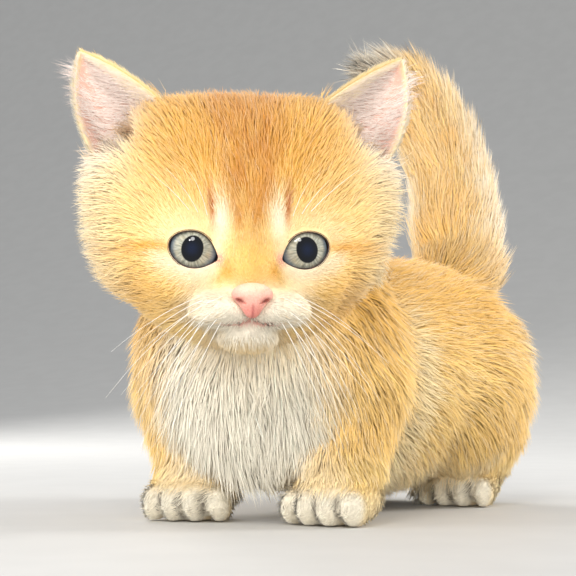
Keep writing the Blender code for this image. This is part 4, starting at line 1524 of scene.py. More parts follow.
@dataclass
class Skin:
    """The one skin of the whole kitten, with its lids, mouth line and ears."""

    body: Body
    markings: Markings
    ear: Ear
    voxel: float = 0.00098
    mouth: tuple[tuple[float, float], ...] = (
        (-0.0003, -0.0236),
        (0.0010, -0.0242),
        (0.0024, -0.0247),
        (0.0038, -0.0249),
        (0.0052, -0.0250),
        (0.0064, -0.0254),
    )
    mouth_front: float = -0.0330
    hollow_tilt: float = math.radians(35.0)
    philtrum: tuple[Triple, ...] = ((0.0, -0.0370, -0.0205), (0.0, -0.0350, -0.0234))
    groove: float = 0.00055
    lip_reach: float = 0.0016
    near_nose: float = 0.022

    def lid_ring(self, count: int, side: float) -> Array:
        """The outline of an eye's opening, in the eye's frame, as (across, up) rows."""
        half, up, down = self.body.anatomy.eye_opening
        angle = np.arange(count) * (math.tau / count)
        lift = np.where(np.sin(angle) > 0.0, up, down)
        inward = np.maximum(0.0, -side * np.cos(angle))
        across = half * np.cos(angle) * (1.0 + 0.08 * inward**4)
        narrowed = 1.0 - 0.14 * np.cos(angle) ** 2 - 0.30 * inward**4
        height = lift * np.sin(angle) * narrowed - 0.0009 * inward**3
        return np.stack([across, height], axis=1)

    def opening(self, side: float) -> Object:
        """The cutter of one eye's opening, drawn forward from the ball's centre."""
        bm = bmesh.new()
        ring = [bm.verts.new((x, 0.0, z)) for x, z in self.lid_ring(48, side)]
        face = bm.faces.new(ring)
        grown = bmesh.ops.extrude_face_region(bm, geom=[face])
        front = [part for part in grown["geom"] if isinstance(part, bmesh.types.BMVert)]
        bmesh.ops.translate(bm, verts=front, vec=(0.0, -0.03, 0.0))
        bmesh.ops.transform(bm, matrix=self.body.anatomy.eye_matrix(side), verts=bm.verts)
        return closed("opening", bm)

    def mouth_paths(self) -> list[Array]:
        """The lines of the mouth and the groove under the nose, laid on the skin."""
        half = np.array([(x, self.mouth_front, z) for x, z in self.mouth])
        paths = [half, half * np.array([-1.0, 1.0, 1.0]), np.array(self.philtrum)]
        found = []
        for path in paths:
            shares = np.linspace(0.0, len(path) - 1.0, 4 * len(path) + 3)
            fine = rows_of(*(np.interp(shares, np.arange(len(path)), column) for column in path.T))
            found.append(self.body.drawn(placed(fine, self.body.anatomy.head_matrix()), 5))
        return found

    def build(self) -> Object:
        """Makes the skin, closed and painted, in the maker's frame."""
        shape = self.body.anatomy
        limbs = (shape.legs(True), shape.legs(False), shape.head(), Flesh((shape.tail(),)))
        balls = (ball for flesh in (shape.torso(), *limbs) for ball in flesh.balls())
        obj = fleshed("skin", balls, self.voxel)
        for rounds in (3, 2):
            move_points(obj.data, self.body.drawn(points_of(obj.data), rounds))
            smoothed(obj, 2)
        points = self.body.drawn(points_of(obj.data), 1)
        points[:, 2] = np.maximum(points[:, 2], FLOOR_CLEARANCE)
        move_points(obj.data, points)
        for side in SIDES.values():
            matrix = shape.eye_matrix(side)
            lid = shape.eye_radius + shape.lid_thickness
            boolean(obj, new_object("lid", ball(matrix, (lid,) * 3, 64, 40)), "UNION")
            hollow = shape.eye_radius + shape.socket_gap
            boolean(obj, new_object("socket", ball(matrix, (hollow,) * 3, 64, 40)), "DIFFERENCE")
            boolean(obj, self.opening(side), "DIFFERENCE")
        for path in self.mouth_paths():
            boolean(obj, tube("groove", path, self.groove), "DIFFERENCE")
        for side in SIDES.values():
            x, y, z = shape.ear_hollow
            place = shape.head_matrix() @ Matrix.Translation((side * x, y, z))
            tilt = Matrix.Rotation(side * self.hollow_tilt, 4, "Y")
            hollow = ball(place @ tilt, shape.ear_hollow_radii, 32, 24)
            boolean(obj, new_object("hollow", hollow), "DIFFERENCE")
            boolean(obj, self.ear.build(side, shape.head_matrix()), "UNION")
        obj.data.shade_smooth()
        paint(obj.data, "tint", self.tints(points_of(obj.data)))
        return obj

    def close_to(self, points: Array, line: Array, among: Array, reach: float) -> Array:
        """How close each point lies to a line, where only some of the points are asked.

        Args:
            points: The points, as rows.
            line: The points of the line.
            among: Which points are asked.
            reach: How far the line's share reaches.

        Returns:
            The share at each point.
        """
        tree = tree_of(line)
        shares = np.zeros(len(points))
        chosen = np.flatnonzero(among)
        gaps = np.array([tree.find(points[index])[2] for index in chosen])
        shares[chosen] = step(gaps, reach, 0.45 * reach)
        return shares

    def tints(self, points: Array) -> Array:
        """The skin's tints: the coat's markings, with pink lips, ears and eye corners.

        Args:
            points: The skin's points, as rows.

        Returns:
            The linear tints, as rows.
        """
        reading = self.body.read(points)
        marks = self.markings
        # The skin takes the coat's tints 7% darker: painted shade under the hair.
        base = marks.coat(self.body, reading) * 0.93
        own = reading.head_points
        both = folded(own)
        sunk = step(-reading.whole - self.body.depth(reading), 0.0003, 0.0012)
        ear = np.maximum(step(reading.whole, 0.0003, 0.0012), sunk) * step(own[:, 2], 0.008, 0.012)
        deep = 1.5 * spot(both, (0.0285, 0.0080, 0.0190), (0.0060, 0.0090, 0.0060))
        ends = np.repeat((-1.0, 1.0), 41)
        edges = self.ear.sheet(ends, np.tile(np.linspace(-0.1, 0.98, 41), 2), 1.0)
        rim = self.close_to(both, edges, ear > 0.01, 0.0020)
        inner = (marks.blush, np.clip(deep, 0.0, 1.0)), (marks.cream, rim * 0.85)
        base = blend(base, layered(plain(marks.shell, len(points)), *inner), ear)
        mouth, by_mouth = np.concatenate(self.mouth_paths()), reading.nose_away < self.near_nose
        lips = self.close_to(points, mouth, by_mouth, self.lip_reach) * 0.75
        corner = 1.2 * spot(both, (0.0072, -0.0262, -0.0085), (0.0016, 0.004, 0.0016))
        return layered(base, (marks.lip, lips), (marks.corner, np.clip(corner, 0.0, 1.0)))


@dataclass
class Tufts:
    """Many thin, tapered tufts, as rows of sizes and places in the maker's frame.

    The rings give the places along a tuft where it has three corners, and its width there.
    """

    root: Array
    out: Array
    lie: Array
    length: Array
    stand: Array
    width: Array
    chart: Array
    root_tint: Array
    tip_tint: Array
    rings: tuple[tuple[float, float], ...] = ((0.0, 0.85), (0.50, 0.80))
    sink: float = 0.0007
    patch: float = 0.0030
    pull: float = 0.0
    per_clump: int = 12
    seed: int = 1
    lean: Triple = (0.0, 0.0, 0.28)

    def tips(self) -> Array:
        """Where the tufts end, drawn together into clumps."""
        ends = self.root + self.lie * self.length[:, None] + self.out * self.stand[:, None]
        if self.pull <= 0.0:
            return ends
        rng = np.random.default_rng(self.seed)
        leaders = rng.choice(len(ends), max(1, len(ends) // self.per_clump), replace=False)
        tree = tree_of(self.root[leaders])
        chosen = leaders[[tree.find(place)[1] for place in self.root]]
        share = self.pull * rng.uniform(0.35, 1.0, len(ends))
        return ends + (ends[chosen] - ends) * share[:, None]

    def mesh(self, name: str) -> Mesh:
        """All tufts as one mesh, with tints, soft normals and the map for baking.

        Args:
            name: The mesh's name.

        Returns:
            The mesh.
        """
        count, rings = len(self.root), len(self.rings)
        start = self.root - self.out * self.sink
        ends = self.tips()
        ends[:, 2] = np.maximum(ends[:, 2], FLOOR_CLEARANCE)
        knee = self.root + (ends - self.root) * 0.38 + self.out * (0.50 * self.stand)[:, None]
        across = unit(np.cross(self.out, self.lie))
        shown = unit(self.out + np.array(self.lean))
        verts = np.empty((count, rings * 3 + 1, 3))
        normals = np.empty_like(verts)
        tints = np.empty_like(verts)
        chart = np.empty((count, rings * 3 + 1, 2))
        for ring, (share, width) in enumerate(self.rings):
            first = start + (knee - start) * share
            spine = first + (knee + (ends - knee) * share - first) * share
            for corner in range(3):
                angle = math.tau * corner / 3 + math.pi / 2
                wide, high = math.cos(angle), math.sin(angle)
                offset = across * wide + self.out * high * 0.7
                at = ring * 3 + corner
                verts[:, at] = spine + offset * (self.width * width / 2)[:, None]
                normals[:, at] = unit(offset * 0.55 + shown)
                tints[:, at] = blend(self.root_tint, self.tip_tint, np.full(count, share**1.3))
                patch = np.array([wide * self.patch / 2, (share - 0.5) * self.patch])
                chart[:, at] = self.chart + patch
        verts[:, -1] = ends
        normals[:, -1] = shown
        tints[:, -1] = self.tip_tint
        chart[:, -1] = self.chart + np.array([0.0, self.patch / 2])
        verts[:, :, 2] = np.maximum(verts[:, :, 2], FLOOR_CLEARANCE / 2)
        faces = [(0, 2, 1)]
        for ring in range(rings - 1):
            low, high = ring * 3, ring * 3 + 3
            for corner in range(3):
                after = (corner + 1) % 3
                faces.append((low + corner, low + after, high + after))
                faces.append((low + corner, high + after, high + corner))
        last, tip = rings * 3 - 3, rings * 3
        faces += [(last + corner, last + (corner + 1) % 3, tip) for corner in range(3)]
        firsts = np.arange(count)[:, None, None] * (rings * 3 + 1)
        index = (firsts + np.array(faces)[None]).reshape(-1, 3)
        mesh = mesh_from(name, verts.reshape(-1, 3), index)
        layer = mesh.uv_layers.new(name="OFBake")
        flat = np.clip(chart.reshape(-1, 2)[index.ravel()], 0.0, 1.0)
        layer.data.foreach_set("uv", flat.astype(np.float32).ravel())
        paint(mesh, "tint", tints.reshape(-1, 3))
        mesh.shade_smooth()
        mesh.normals_split_custom_set_from_vertices(normals.reshape(-1, 3).astype(np.float32))
        return mesh


def mesh_from(name: str, points: Array, triangles: Array) -> Mesh:
    """A mesh from rows of points and triangles."""
    mesh = bpy.data.meshes.new(name)
    mesh.vertices.add(len(points))
    mesh.vertices.foreach_set("co", points.astype(np.float32).ravel())
    mesh.loops.add(len(triangles) * 3)
    mesh.loops.foreach_set("vertex_index", triangles.astype(np.int32).ravel())
    mesh.polygons.add(len(triangles))
    mesh.polygons.foreach_set("loop_start", np.arange(len(triangles), dtype=np.int32) * 3)
    mesh.update(calc_edges=True)
    return mesh


@dataclass
class Pelt:
    """A stretch of the skin that tufts grow on, with a chart of its own."""

    corners: Array
    normals: Array
    charts: Array

    @staticmethod
    def cut_from(skin: Object, keep: Array) -> "Pelt":
        """Cuts the kept faces out of a copy of the skin and lays them flat.

        Args:
            skin: The skin's object.
            keep: Which of its faces belong to the pelt.

        Returns:
            The pelt.
        """
        bm = bmesh.new()
        bm.from_mesh(skin.data)
        bm.normal_update()
        smooth = np.array([vert.normal for vert in bm.verts])
        bm.faces.ensure_lookup_table()
        spare = [bm.faces[index] for index in np.flatnonzero(~keep)]
        layer = bm.verts.layers.int.new("source")
        for index, vert in enumerate(bm.verts):
            vert[layer] = index
        bmesh.ops.delete(bm, geom=spare, context="FACES")
        obj = new_object("pelt", mesh_of(bm))
        bpy.context.view_layer.objects.active = obj
        bpy.ops.object.select_all(action="DESELECT")
        obj.select_set(True)
        bpy.ops.object.mode_set(mode="EDIT")
        bpy.ops.mesh.select_all(action="SELECT")
        bpy.ops.uv.smart_project(angle_limit=1.15, island_margin=0.004)
        bpy.ops.object.mode_set(mode="OBJECT")
        mesh = obj.data
        mesh.calc_loop_triangles()
        verts = values_of(mesh.loop_triangles, "vertices", 3, np.int32)
        loops = values_of(mesh.loop_triangles, "loops", 3, np.int32)
        charts = values_of(mesh.uv_layers.active.data, "uv", 2)[loops]
        source = values_of(mesh.attributes["source"].data, "value", 1, np.int32)[:, 0]
        pelt = Pelt(points_of(mesh)[verts], smooth[source][verts], charts)
        bpy.data.objects.remove(obj)
        return pelt

    def strewn(self, count: int, rng: Chance, weights: Array) -> tuple:
        """Spreads roots evenly over the pelt.

        Args:
            count: How many.
            rng: The source of chance.
            weights: How densely each triangle is planted.

        Returns:
            The roots, their outward directions and their places on the chart.
        """
        edges = self.corners[:, 1] - self.corners[:, 0], self.corners[:, 2] - self.corners[:, 0]
        area = np.linalg.norm(np.cross(*edges), axis=1) * weights
        total = np.cumsum(area)
        marks = (np.arange(count) + rng.uniform(0.0, 1.0, count)) / count * total[-1]
        chosen = np.minimum(np.searchsorted(total, marks), len(area) - 1)
        first, second = rng.uniform(0.0, 1.0, (2, count))
        over = first + second > 1.0
        first, second = np.where(over, 1.0 - first, first), np.where(over, 1.0 - second, second)
        shares = np.stack([1.0 - first - second, first, second], axis=1)[:, :, None]
        root = (self.corners[chosen] * shares).sum(axis=1)
        out = unit((self.normals[chosen] * shares).sum(axis=1))
        chart = (self.charts[chosen] * shares).sum(axis=1)
        return root, out, chart


@dataclass(frozen=True)
class Coat:
    """One piece of the coat: where it grows, how many tufts it has and how they clump."""

    name: str
    count: int
    pull: float
    per_clump: int
    seed: int
    slot: str = "cream_coat"
    guards: float = 0.14
    sway: float = 0.36

    def build(self, skin: Object, keep: Array, body: Body, marks: Markings) -> Object:
        """Grows this piece on the kept faces of the skin.

        Args:
            skin: The skin, in the maker's frame.
            keep: Which of its faces carry this piece.
            body: The body's fields.
            marks: The kitten's tints.

        Returns:
            The piece, in the maker's frame.
        """
        rng = np.random.default_rng(self.seed)
        pelt = Pelt.cut_from(skin, keep)
        middles = pelt.corners.mean(axis=1)
        thick = body.length(body.read(middles))
        root, out, chart = pelt.strewn(self.count, rng, np.clip(0.005 / thick, 0.6, 1.8))
        reading = body.read(root)
        lie = body.lie(reading, out)
        drift = self.sway * grain(root, 0.0070, self.seed) + 0.20 * rng.standard_normal(self.count)
        lie = turned(lie, out, drift)
        size = rng.uniform(0.72, 1.16, self.count)
        size = size * (1.0 + 0.10 * grain(root, 0.0045, self.seed + 9))
        tone = rng.normal(1.0, 0.065, self.count)[:, None]
        base = marks.coat(body, reading) * tone
        tips = np.clip(marks.tip(reading) * rng.uniform(0.5, 1.4, self.count), 0.0, 1.0)
        guard = rng.uniform(0.0, 1.0, self.count) < self.guards
        tips = np.where(guard, np.maximum(tips, 0.55), tips)
        size = np.where(guard, np.minimum(size * 1.25, 1.14), size)
        rise = rng.uniform(0.55, 1.25, self.count)
        rise = np.where(guard, np.minimum(rise * 1.35, 1.10), rise)
        tufts = Tufts(
            root,
            out,
            lie,
            body.length(reading) * size,
            body.stand(reading) * size * rise,
            body.width(reading) * rng.uniform(0.75, 1.25, self.count) * np.where(guard, 0.55, 1.0),
            chart,
            # Roots 6% darker and tips 4% brighter than the coat's tint: painted shade and painted
            # light through the depth of the coat; on the bib the roots are as bright as the tips.
            base * (0.94 + 0.10 * reading.bib())[:, None],
            layered(base * 1.04, (marks.white, tips)),
            pull=self.pull,
            per_clump=self.per_clump,
            seed=self.seed,
        )
        return new_object(self.name, tufts.mesh(self.name))


COATS = (
    Coat("coat_face", 19000, 0.25, 8, 21, guards=0.04),
    Coat("coat_crown", 14000, 0.35, 9, 22),
    Coat("coat_cheeks", 11000, 0.45, 12, 23, guards=0.18),
    Coat("coat_chest", 16000, 0.50, 14, 24),
    Coat("coat_flank_left", 11500, 0.40, 12, 25),
    Coat("coat_flank_right", 11500, 0.40, 12, 26),
    Coat("coat_rump", 15500, 0.45, 13, 27),
    Coat("coat_legs", 11000, 0.35, 9, 28),
    Coat("coat_paws", 8000, 0.20, 7, 29, "white_coat", guards=0.04),
    Coat("coat_tail", 16000, 0.40, 12, 30, guards=0.18),
)


def coat_of(body: Body, skin: Object) -> Array:
    """Names the coat piece that grows on each face of the skin.

    Args:
        body: The body's fields.
        skin: The skin, in the maker's frame.

    Returns:
        The name for each face, empty where none grows.
    """
    mesh = skin.data
    middles, normals = (values_of(mesh.polygons, name, 3, float) for name in ("center", "normal"))
    reading = body.read(middles)
    own = reading.head_points
    zones = list(Zone)
    best = np.argmax(np.stack([reading.shares[zone] for zone in zones]), axis=0)
    x, y, z = middles.T
    names = np.full(len(middles), "", dtype=object)
    torso, barrel = best == zones.index(Zone.TORSO), (y >= 0.0200) & (y < 0.0840)
    names[torso & (y < 0.0200)] = "coat_chest"
    names[torso & barrel & (x >= -0.002)] = "coat_flank_left"
    names[torso & barrel & (x < -0.002)] = "coat_flank_right"
    names[torso & (y >= 0.0840)] = "coat_rump"
    legs = (best == zones.index(Zone.FORE)) | (best == zones.index(Zone.HIND))
    names[legs] = "coat_legs"
    names[legs & (z < 0.0135)] = "coat_paws"
    names[best == zones.index(Zone.TAIL)] = "coat_tail"
    head, wide = best == zones.index(Zone.HEAD), np.abs(own[:, 0])
    names[head] = "coat_crown"
    names[head & (own[:, 1] < -0.004) & (wide < 0.031)] = "coat_face"
    names[head & (wide > 0.0235) & (own[:, 2] < 0.020) & (own[:, 1] > -0.010)] = "coat_cheeks"
    out_way = slope_of(body.skin_gap, middles, body.skin_gap(middles), 0.0002)
    shape = body.anatomy
    sunk = reading.whole + body.depth(reading)
    outward = (unit(out_way) * normals).sum(axis=1) > np.where(sunk < -0.0005, -0.2, 0.25)
    deepest = np.where(reading.nose_away < 0.022, -0.0004, -0.0080)
    bare = (reading.whole > 0.0006) | (sunk < deepest) | ~outward
    bare |= (normals[:, 2] < -0.75) & (z < 0.0025)
    for side in SIDES.values():
        eye = placed(middles, shape.eye_matrix(side).inverted())
        half, up, down = shape.eye_opening
        high = 0.5 * (up + down) + 0.0005
        oval = (eye[:, 0] / (half + 0.0005)) ** 2 + (eye[:, 2] / high) ** 2
        bare |= (oval < 1.0) & (np.linalg.norm(eye, axis=1) < 0.013) & (eye[:, 1] < 0.0)
    leather = (own - np.array([0.0, -0.036, -0.0172])) / np.array([0.0048, 0.004, 0.0034])
    bare |= np.linalg.norm(leather, axis=1) < 1.0
    names[bare] = ""
    return names


@dataclass(frozen=True)
class EarHair:
    """One kind of hair on the ears: where it grows, how it lies, its sizes and its tints.

    Places go across from -1 at the inner edge to 1 at the outer, and up from 0 to 1 at the tip.
    """

    count: int
    across: tuple[float, float]
    up: tuple[float, float]
    way: tuple[float, float]
    sizes: Triple
    tints: tuple[str, str] = ("down", "down")
    face: float = 1.0
    gather: float = 1.0
    narrowing: float = 0.0
    fringe: bool = False


EAR_HAIRS = (
    EarHair(
        count=2400,
        across=(-0.97, 0.90),
        up=(-0.08, 0.96),
        way=(0.0, 1.0),
        sizes=(0.0034, 0.0007, 0.00036),
        tints=("gold", "pale_gold"),
        face=-1.0,
    ),
    EarHair(
        count=900,
        across=(-1.0, -0.50),
        up=(-0.08, 0.96),
        way=(0.35, 1.0),
        sizes=(0.0038, 0.0008, 0.00022),
        tints=("cream", "down"),
        gather=1.6,
        narrowing=0.9,
    ),
    EarHair(
        count=700,
        across=(-1.0, -0.97),
        up=(0.0, 0.99),
        way=(-0.35, 1.0),
        sizes=(0.0022, 0.0003, 0.00018),
        tints=("pale_gold", "cream"),
        fringe=True,
    ),
    EarHair(
        count=800,
        across=(0.96, 1.0),
        up=(-0.05, 0.99),
        way=(0.6, 0.9),
        sizes=(0.0026, 0.0003, 0.00016),
        tints=("cream", "white"),
        fringe=True,
    ),
    EarHair(1400, (-0.98, 0.97), (0.02, 0.97), (0.75, 0.70), (0.0036, 0.0004, 0.00017)),
    EarHair(1200, (-0.95, 0.55), (0.0, 0.86), (1.0, 0.75), (0.0095, 0.0013, 0.00017), gather=1.3),
    EarHair(
        count=600,
        across=(-0.9, 0.9),
        up=(-0.16, 0.08),
        way=(0.25, 1.0),
        sizes=(0.0090, 0.0026, 0.00020),
        tints=("cream", "white"),
    ),
)


@dataclass(frozen=True)
class EarCoat:
    """The hair of both ears: short on their backs, long and pale across the open face."""

    ear: Ear
    anatomy: Anatomy
    marks: Markings
    seed: int = 41

    def rows(self, side: float, hair: EarHair, rng: Chance) -> dict[str, Array]:
        """Rows of tufts of one kind on one ear.

        Args:
            side: 1 for the left ear, -1 for the right.
            hair: The kind of hair.
            rng: The source of chance.

        Returns:
            The rows, by the names of the tufts' fields.
        """
        (start, stop), (low, high) = hair.across, hair.up
        up = low + (high - low) * (1.0 - rng.uniform(0.0, 1.0, hair.count) ** 0.6)
        share = rng.uniform(0.0, 1.0, hair.count) ** hair.gather
        share = share * (1.0 - hair.narrowing * np.clip(up, 0.0, 1.0))
        across = start + (stop - start) * share
        held = np.minimum(up, 0.93)
        sheet = self.ear.sheet
        wide, tall = (unit(way) for way in self.ear.ways(across, held, side))
        out = self.ear.facing(across, held, side) * hair.face
        if hair.fringe:
            ends = np.ones(hair.count)
            chord = unit(sheet(ends, held, side) - sheet(-ends, held, side))
            lie = unit(chord * hair.way[0] + tall * hair.way[1])
            out = unit(out * 0.5 + np.array([0.0, 0.0, 0.6]))
        else:
            lie = laid(wide * hair.way[0] + tall * hair.way[1], out)
        lie = turned(lie, out, 0.20 * rng.standard_normal(hair.count))
        size = rng.uniform(0.65, 1.20, hair.count) * (1.0 - 0.45 * step(up, 0.75, 1.0))
        turn = np.array(self.anatomy.head_matrix())[:3, :3]
        corner = np.array([0.02 + 0.50 * (side > 0), 0.02 + 0.50 * (hair.face > 0)])
        sheet_chart = np.stack([(across + 1.0) * 0.22, np.clip(up, 0.0, 1.0) * 0.46], axis=1)
        tone = rng.normal(1.0, 0.04, hair.count)[:, None]
        length, stand, width = hair.sizes
        first, last = (plain(getattr(self.marks, name), hair.count) for name in hair.tints)
        root = sheet(across, up, side) + out * (self.ear.thickness / 2)
        return {
            "root": root @ turn.T + np.array(self.anatomy.head_centre),
            "out": out @ turn.T,
            "lie": lie @ turn.T,
            "length": length * size,
            "stand": stand * size,
            "width": width * rng.uniform(0.75, 1.25, hair.count),
            "chart": sheet_chart + corner,
            "root_tint": first * tone,
            "tip_tint": last * tone,
        }

    def build(self) -> Object:
        """Grows the hair of both ears as one piece, in the maker's frame."""
        rng = np.random.default_rng(self.seed)
        batches = [self.rows(side, hair, rng) for side in SIDES.values() for hair in EAR_HAIRS]
        rows = {key: np.concatenate([batch[key] for batch in batches]) for key in batches[0]}
        lean = (0.0, -0.3, 0.6)
        tufts = Tufts(sink=0.0003, pull=0.10, per_clump=5, seed=self.seed, lean=lean, **rows)
        return new_object("coat_ears", tufts.mesh("coat_ears"))


@dataclass(frozen=True)
class Eye:
    """One eyeball with its cornea, charted from the front."""

    anatomy: Anatomy
    cornea_rise: float = 0.00055
    cornea_width: float = 0.0058
    segments: int = 96
    rings: int = 64

    def build(self, side_name: str) -> Object:
        """Makes one eye.

        Args:
            side_name: Which eye it is.

        Returns:
            The eye, in the maker's frame.
        """
        bm = bmesh.new()
        pole = Matrix.Rotation(math.radians(90.0), 4, "X")
        radius = self.anatomy.eye_radius
        bm.from_mesh(ball(pole, (radius,) * 3, self.segments, self.rings))
        chart = bm.loops.layers.uv.new("eye_map")
        for face in bm.faces:
            for loop in face.loops:
                place = loop.vert.co
                flat = Vector((place.x, place.z)) / radius
                if place.y > 0.0 and flat.length > 1e-6:
                    flat = flat.normalized() * (2.0 - flat.length)
                elif place.y > 0.0:
                    flat = Vector((2.0, 0.0))
                loop[chart].uv = (flat.x * 0.5 + 0.5, flat.y * 0.5 + 0.5)
        for vert in bm.verts:
            away = math.hypot(vert.co.x, vert.co.z)
            if vert.co.y < 0.0 and away < self.cornea_width:
                rise = self.cornea_rise * (1.0 - (away / self.cornea_width) ** 2) ** 2
                vert.co = vert.co * (1.0 + rise / radius)
        bmesh.ops.transform(bm, matrix=self.anatomy.eye_matrix(SIDES[side_name]), verts=bm.verts)
        obj = new_object("eyeball_" + side_name, mesh_of(bm))
        obj.data.shade_smooth()
        return obj


@dataclass(frozen=True)
class LidRims:
    """The dark, wet edge of both pairs of lids."""

    skin: Skin
    count: int = 72
    thickness: float = 0.00034
    sides: int = 8

    def build(self) -> Object:
        """Makes the rims of both eyes as one piece, in the maker's frame."""
        shape = self.skin.body.anatomy
        bm = bmesh.new()
        radius = shape.eye_radius + shape.lid_thickness * 0.72
        for side in SIDES.values():
            matrix = shape.eye_matrix(side)
            ring = self.skin.lid_ring(self.count, side)
            loops = []
            for index, (x, z) in enumerate(ring):
                middle = Vector((x, -math.sqrt(radius**2 - x * x - z * z), z))
                after, before = ring[(index + 1) % self.count], ring[index - 1]
                way = Vector((after[0] - before[0], 0.0, after[1] - before[1])).normalized()
                out = middle.normalized()
                across = way.cross(out).normalized()
                loop = []
                for corner in range(self.sides):
                    angle = math.tau * corner / self.sides
                    offset = out * math.cos(angle) + across * math.sin(angle)
                    loop.append(bm.verts.new(matrix @ (middle + offset * self.thickness)))
                loops.append(loop)
            walled(bm, [*loops, loops[0]])
        obj = closed("lid_rims", bm)
        obj.data.shade_smooth()
        return obj


@dataclass(frozen=True)
class Nose:
    """The nose leather with its nostrils."""

    anatomy: Anatomy
    voxel: float = 0.00022
    nostril: Triple = (0.0034, -0.0376, -0.0179)
    slit: Triple = (0.0021, 0.0014, 0.00034)
    slant: float = math.radians(-24.0)
    leather: Shade = (240, 180, 164)
    wing: Shade = (222, 140, 126)
    foot: Shade = (216, 118, 108)
    top: Shade = (250, 212, 180)
    hole: Shade = (156, 74, 64)
    seam: Shade = (176, 92, 86)

    def build(self) -> Object:
        """Makes the nose, in the maker's frame."""
        flesh = self.anatomy.nose()
        obj = fleshed("nose_leather", flesh.balls(), self.voxel)
        move_points(obj.data, drawn_to(flesh.gap, points_of(obj.data), 4, 0.00005))
        smoothed(obj, 2)
        for side in SIDES.values():
            x, y, z = self.nostril
            place = self.anatomy.head_matrix() @ Matrix.Translation((side * x, y, z))
            turn = Matrix.Rotation(side * self.slant, 4, "Y")
            slit = new_object("nostril", ball(place @ turn, self.slit, 24, 16))
            boolean(obj, slit, "DIFFERENCE")
        obj.data.shade_smooth()
        paint(obj.data, "tint", self.tints(flesh.local(points_of(obj.data))))
        return obj

    def tints(self, own: Array) -> Array:
        """The tints of the leather.

        Args:
            own: Its points in the head's frame, as rows.

        Returns:
            The linear tints, as rows.
        """
        across, low = own[:, 0], own[:, 2]
        x, y, z = self.nostril
        holes = [
            (self.hole, spot(own, (side * x, y + 0.0006, z), (0.0013, 0.0012, 0.0007)) * 1.2)
            for side in SIDES.values()
        ]
        seam = np.exp(-((across / 0.00035) ** 2)) * step(low, -0.0178, -0.0200)
        return layered(
            plain(self.leather, len(own)) * (1.0 + 0.10 * grain(own, 0.0009, 4))[:, None],
            (self.wing, step(np.abs(across), 0.0028, 0.0052) * 0.45),
            (self.foot, step(low, -0.0178, -0.0208) * 0.6),
            (self.top, spot(own, (0.0, -0.038, -0.0142), (0.005, 0.01, 0.0020)) * 0.9),
            *((shade, np.clip(share, 0.0, 1.0)) for shade, share in holes),
            (self.seam, seam * 0.8),
        )


WHISKER_INPUTS = (
    ("Lines", "Geometry"),
    ("Root Radius", "Float"),
    ("Tip Radius", "Float"),
    ("Sides", "Int"),
    ("Waver", "Float"),
    ("Seed", "Int"),
    ("Finish", "Material"),
)
WHISKER_NODES = {
    "given": "NodeGroupInput",
    "result": "NodeGroupOutput",
    "curves": "GeometryNodeMeshToCurve",
    "share": "GeometryNodeSplineParameter",
    "noise": "ShaderNodeTexNoise",
    "centred": "ShaderNodeVectorMath",
    "reach": "ShaderNodeMath",
    "scaled": "ShaderNodeVectorMath",
    "moved": "GeometryNodeSetPosition",
    "thick": "ShaderNodeMapRange",
    "circle": "GeometryNodeCurvePrimitiveCircle",
    "solid": "GeometryNodeCurveToMesh",
    "whole": "GeometryNodeRealizeInstances",
    "dressed": "GeometryNodeSetMaterial",
}
WHISKER_LINKS = (
    ("given", "Lines", "curves", "Mesh"),
    ("given", "Seed", "noise", "W"),
    ("noise", "Color", "centred", 0),
    ("given", "Waver", "reach", 0),
    ("share", "Factor", "reach", 1),
    ("centred", 0, "scaled", 0),
    ("reach", 0, "scaled", "Scale"),
    ("curves", "Curve", "moved", "Geometry"),
    ("scaled", 0, "moved", "Offset"),
    ("share", "Factor", "thick", "Value"),
    ("given", "Root Radius", "thick", "To Min"),
    ("given", "Tip Radius", "thick", "To Max"),
    ("thick", "Result", "solid", "Scale"),
    ("given", "Sides", "circle", "Resolution"),
    ("moved", "Geometry", "solid", "Curve"),
    ("circle", "Curve", "solid", "Profile Curve"),
    ("solid", "Mesh", "whole", "Geometry"),
    ("whole", "Geometry", "dressed", "Geometry"),
    ("given", "Finish", "dressed", "Material"),
    ("dressed", "Geometry", "result", "Hairs"),
)


@dataclass(frozen=True)
class WhiskerTree:
    """The node tree that turns thin lines into tapered, slightly wavering hairs."""

    root_radius: float = 0.00008
    tip_radius: float = 0.00002
    sides: int = 6
    waver: float = 0.0007
    seed: int = 5

    def tree(self) -> bpy.types.NodeTree:
        """Builds the tree, with named inputs for its sizes."""
        tree = bpy.data.node_groups.new("whisker_hairs", "GeometryNodeTree")
        for name, kind in WHISKER_INPUTS:
            tree.interface.new_socket(name, in_out="INPUT", socket_type="NodeSocket" + kind)
        tree.interface.new_socket("Hairs", in_out="OUTPUT", socket_type="NodeSocketGeometry")
        nodes = {name: tree.nodes.new(kind) for name, kind in WHISKER_NODES.items()}
        nodes["noise"].noise_dimensions = "4D"
        nodes["noise"].inputs["Scale"].default_value = 55.0
        nodes["centred"].operation = "SUBTRACT"
        nodes["centred"].inputs[1].default_value = (0.5, 0.5, 0.5)
        nodes["reach"].operation = "MULTIPLY"
        nodes["scaled"].operation = "SCALE"
        nodes["circle"].inputs["Radius"].default_value = 1.0
        nodes["solid"].inputs["Fill Caps"].default_value = True
        for source, output, target, entry in WHISKER_LINKS:
            tree.links.new(nodes[source].outputs[output], nodes[target].inputs[entry])
        return tree

    def grow(self, obj: Object, material: Material) -> Object:
        """Turns an object of plain lines into solid hairs.

        Args:
            obj: The object, whose mesh has only points and edges.
            material: The finish of the hairs.

        Returns:
            The object, with a plain mesh.
        """
        tree = self.tree()
        change = obj.modifiers.new("Hairs", "NODES")
        change.node_group = tree
        values = {
            "Root Radius": self.root_radius,
            "Tip Radius": self.tip_radius,
            "Sides": self.sides,
            "Waver": self.waver,
            "Seed": self.seed,
            "Finish": material,
        }
        for socket in tree.interface.items_tree:
            if socket.name in values:
                change[socket.identifier] = values[socket.name]
        settle(obj)
        obj.data.shade_smooth()
        return obj


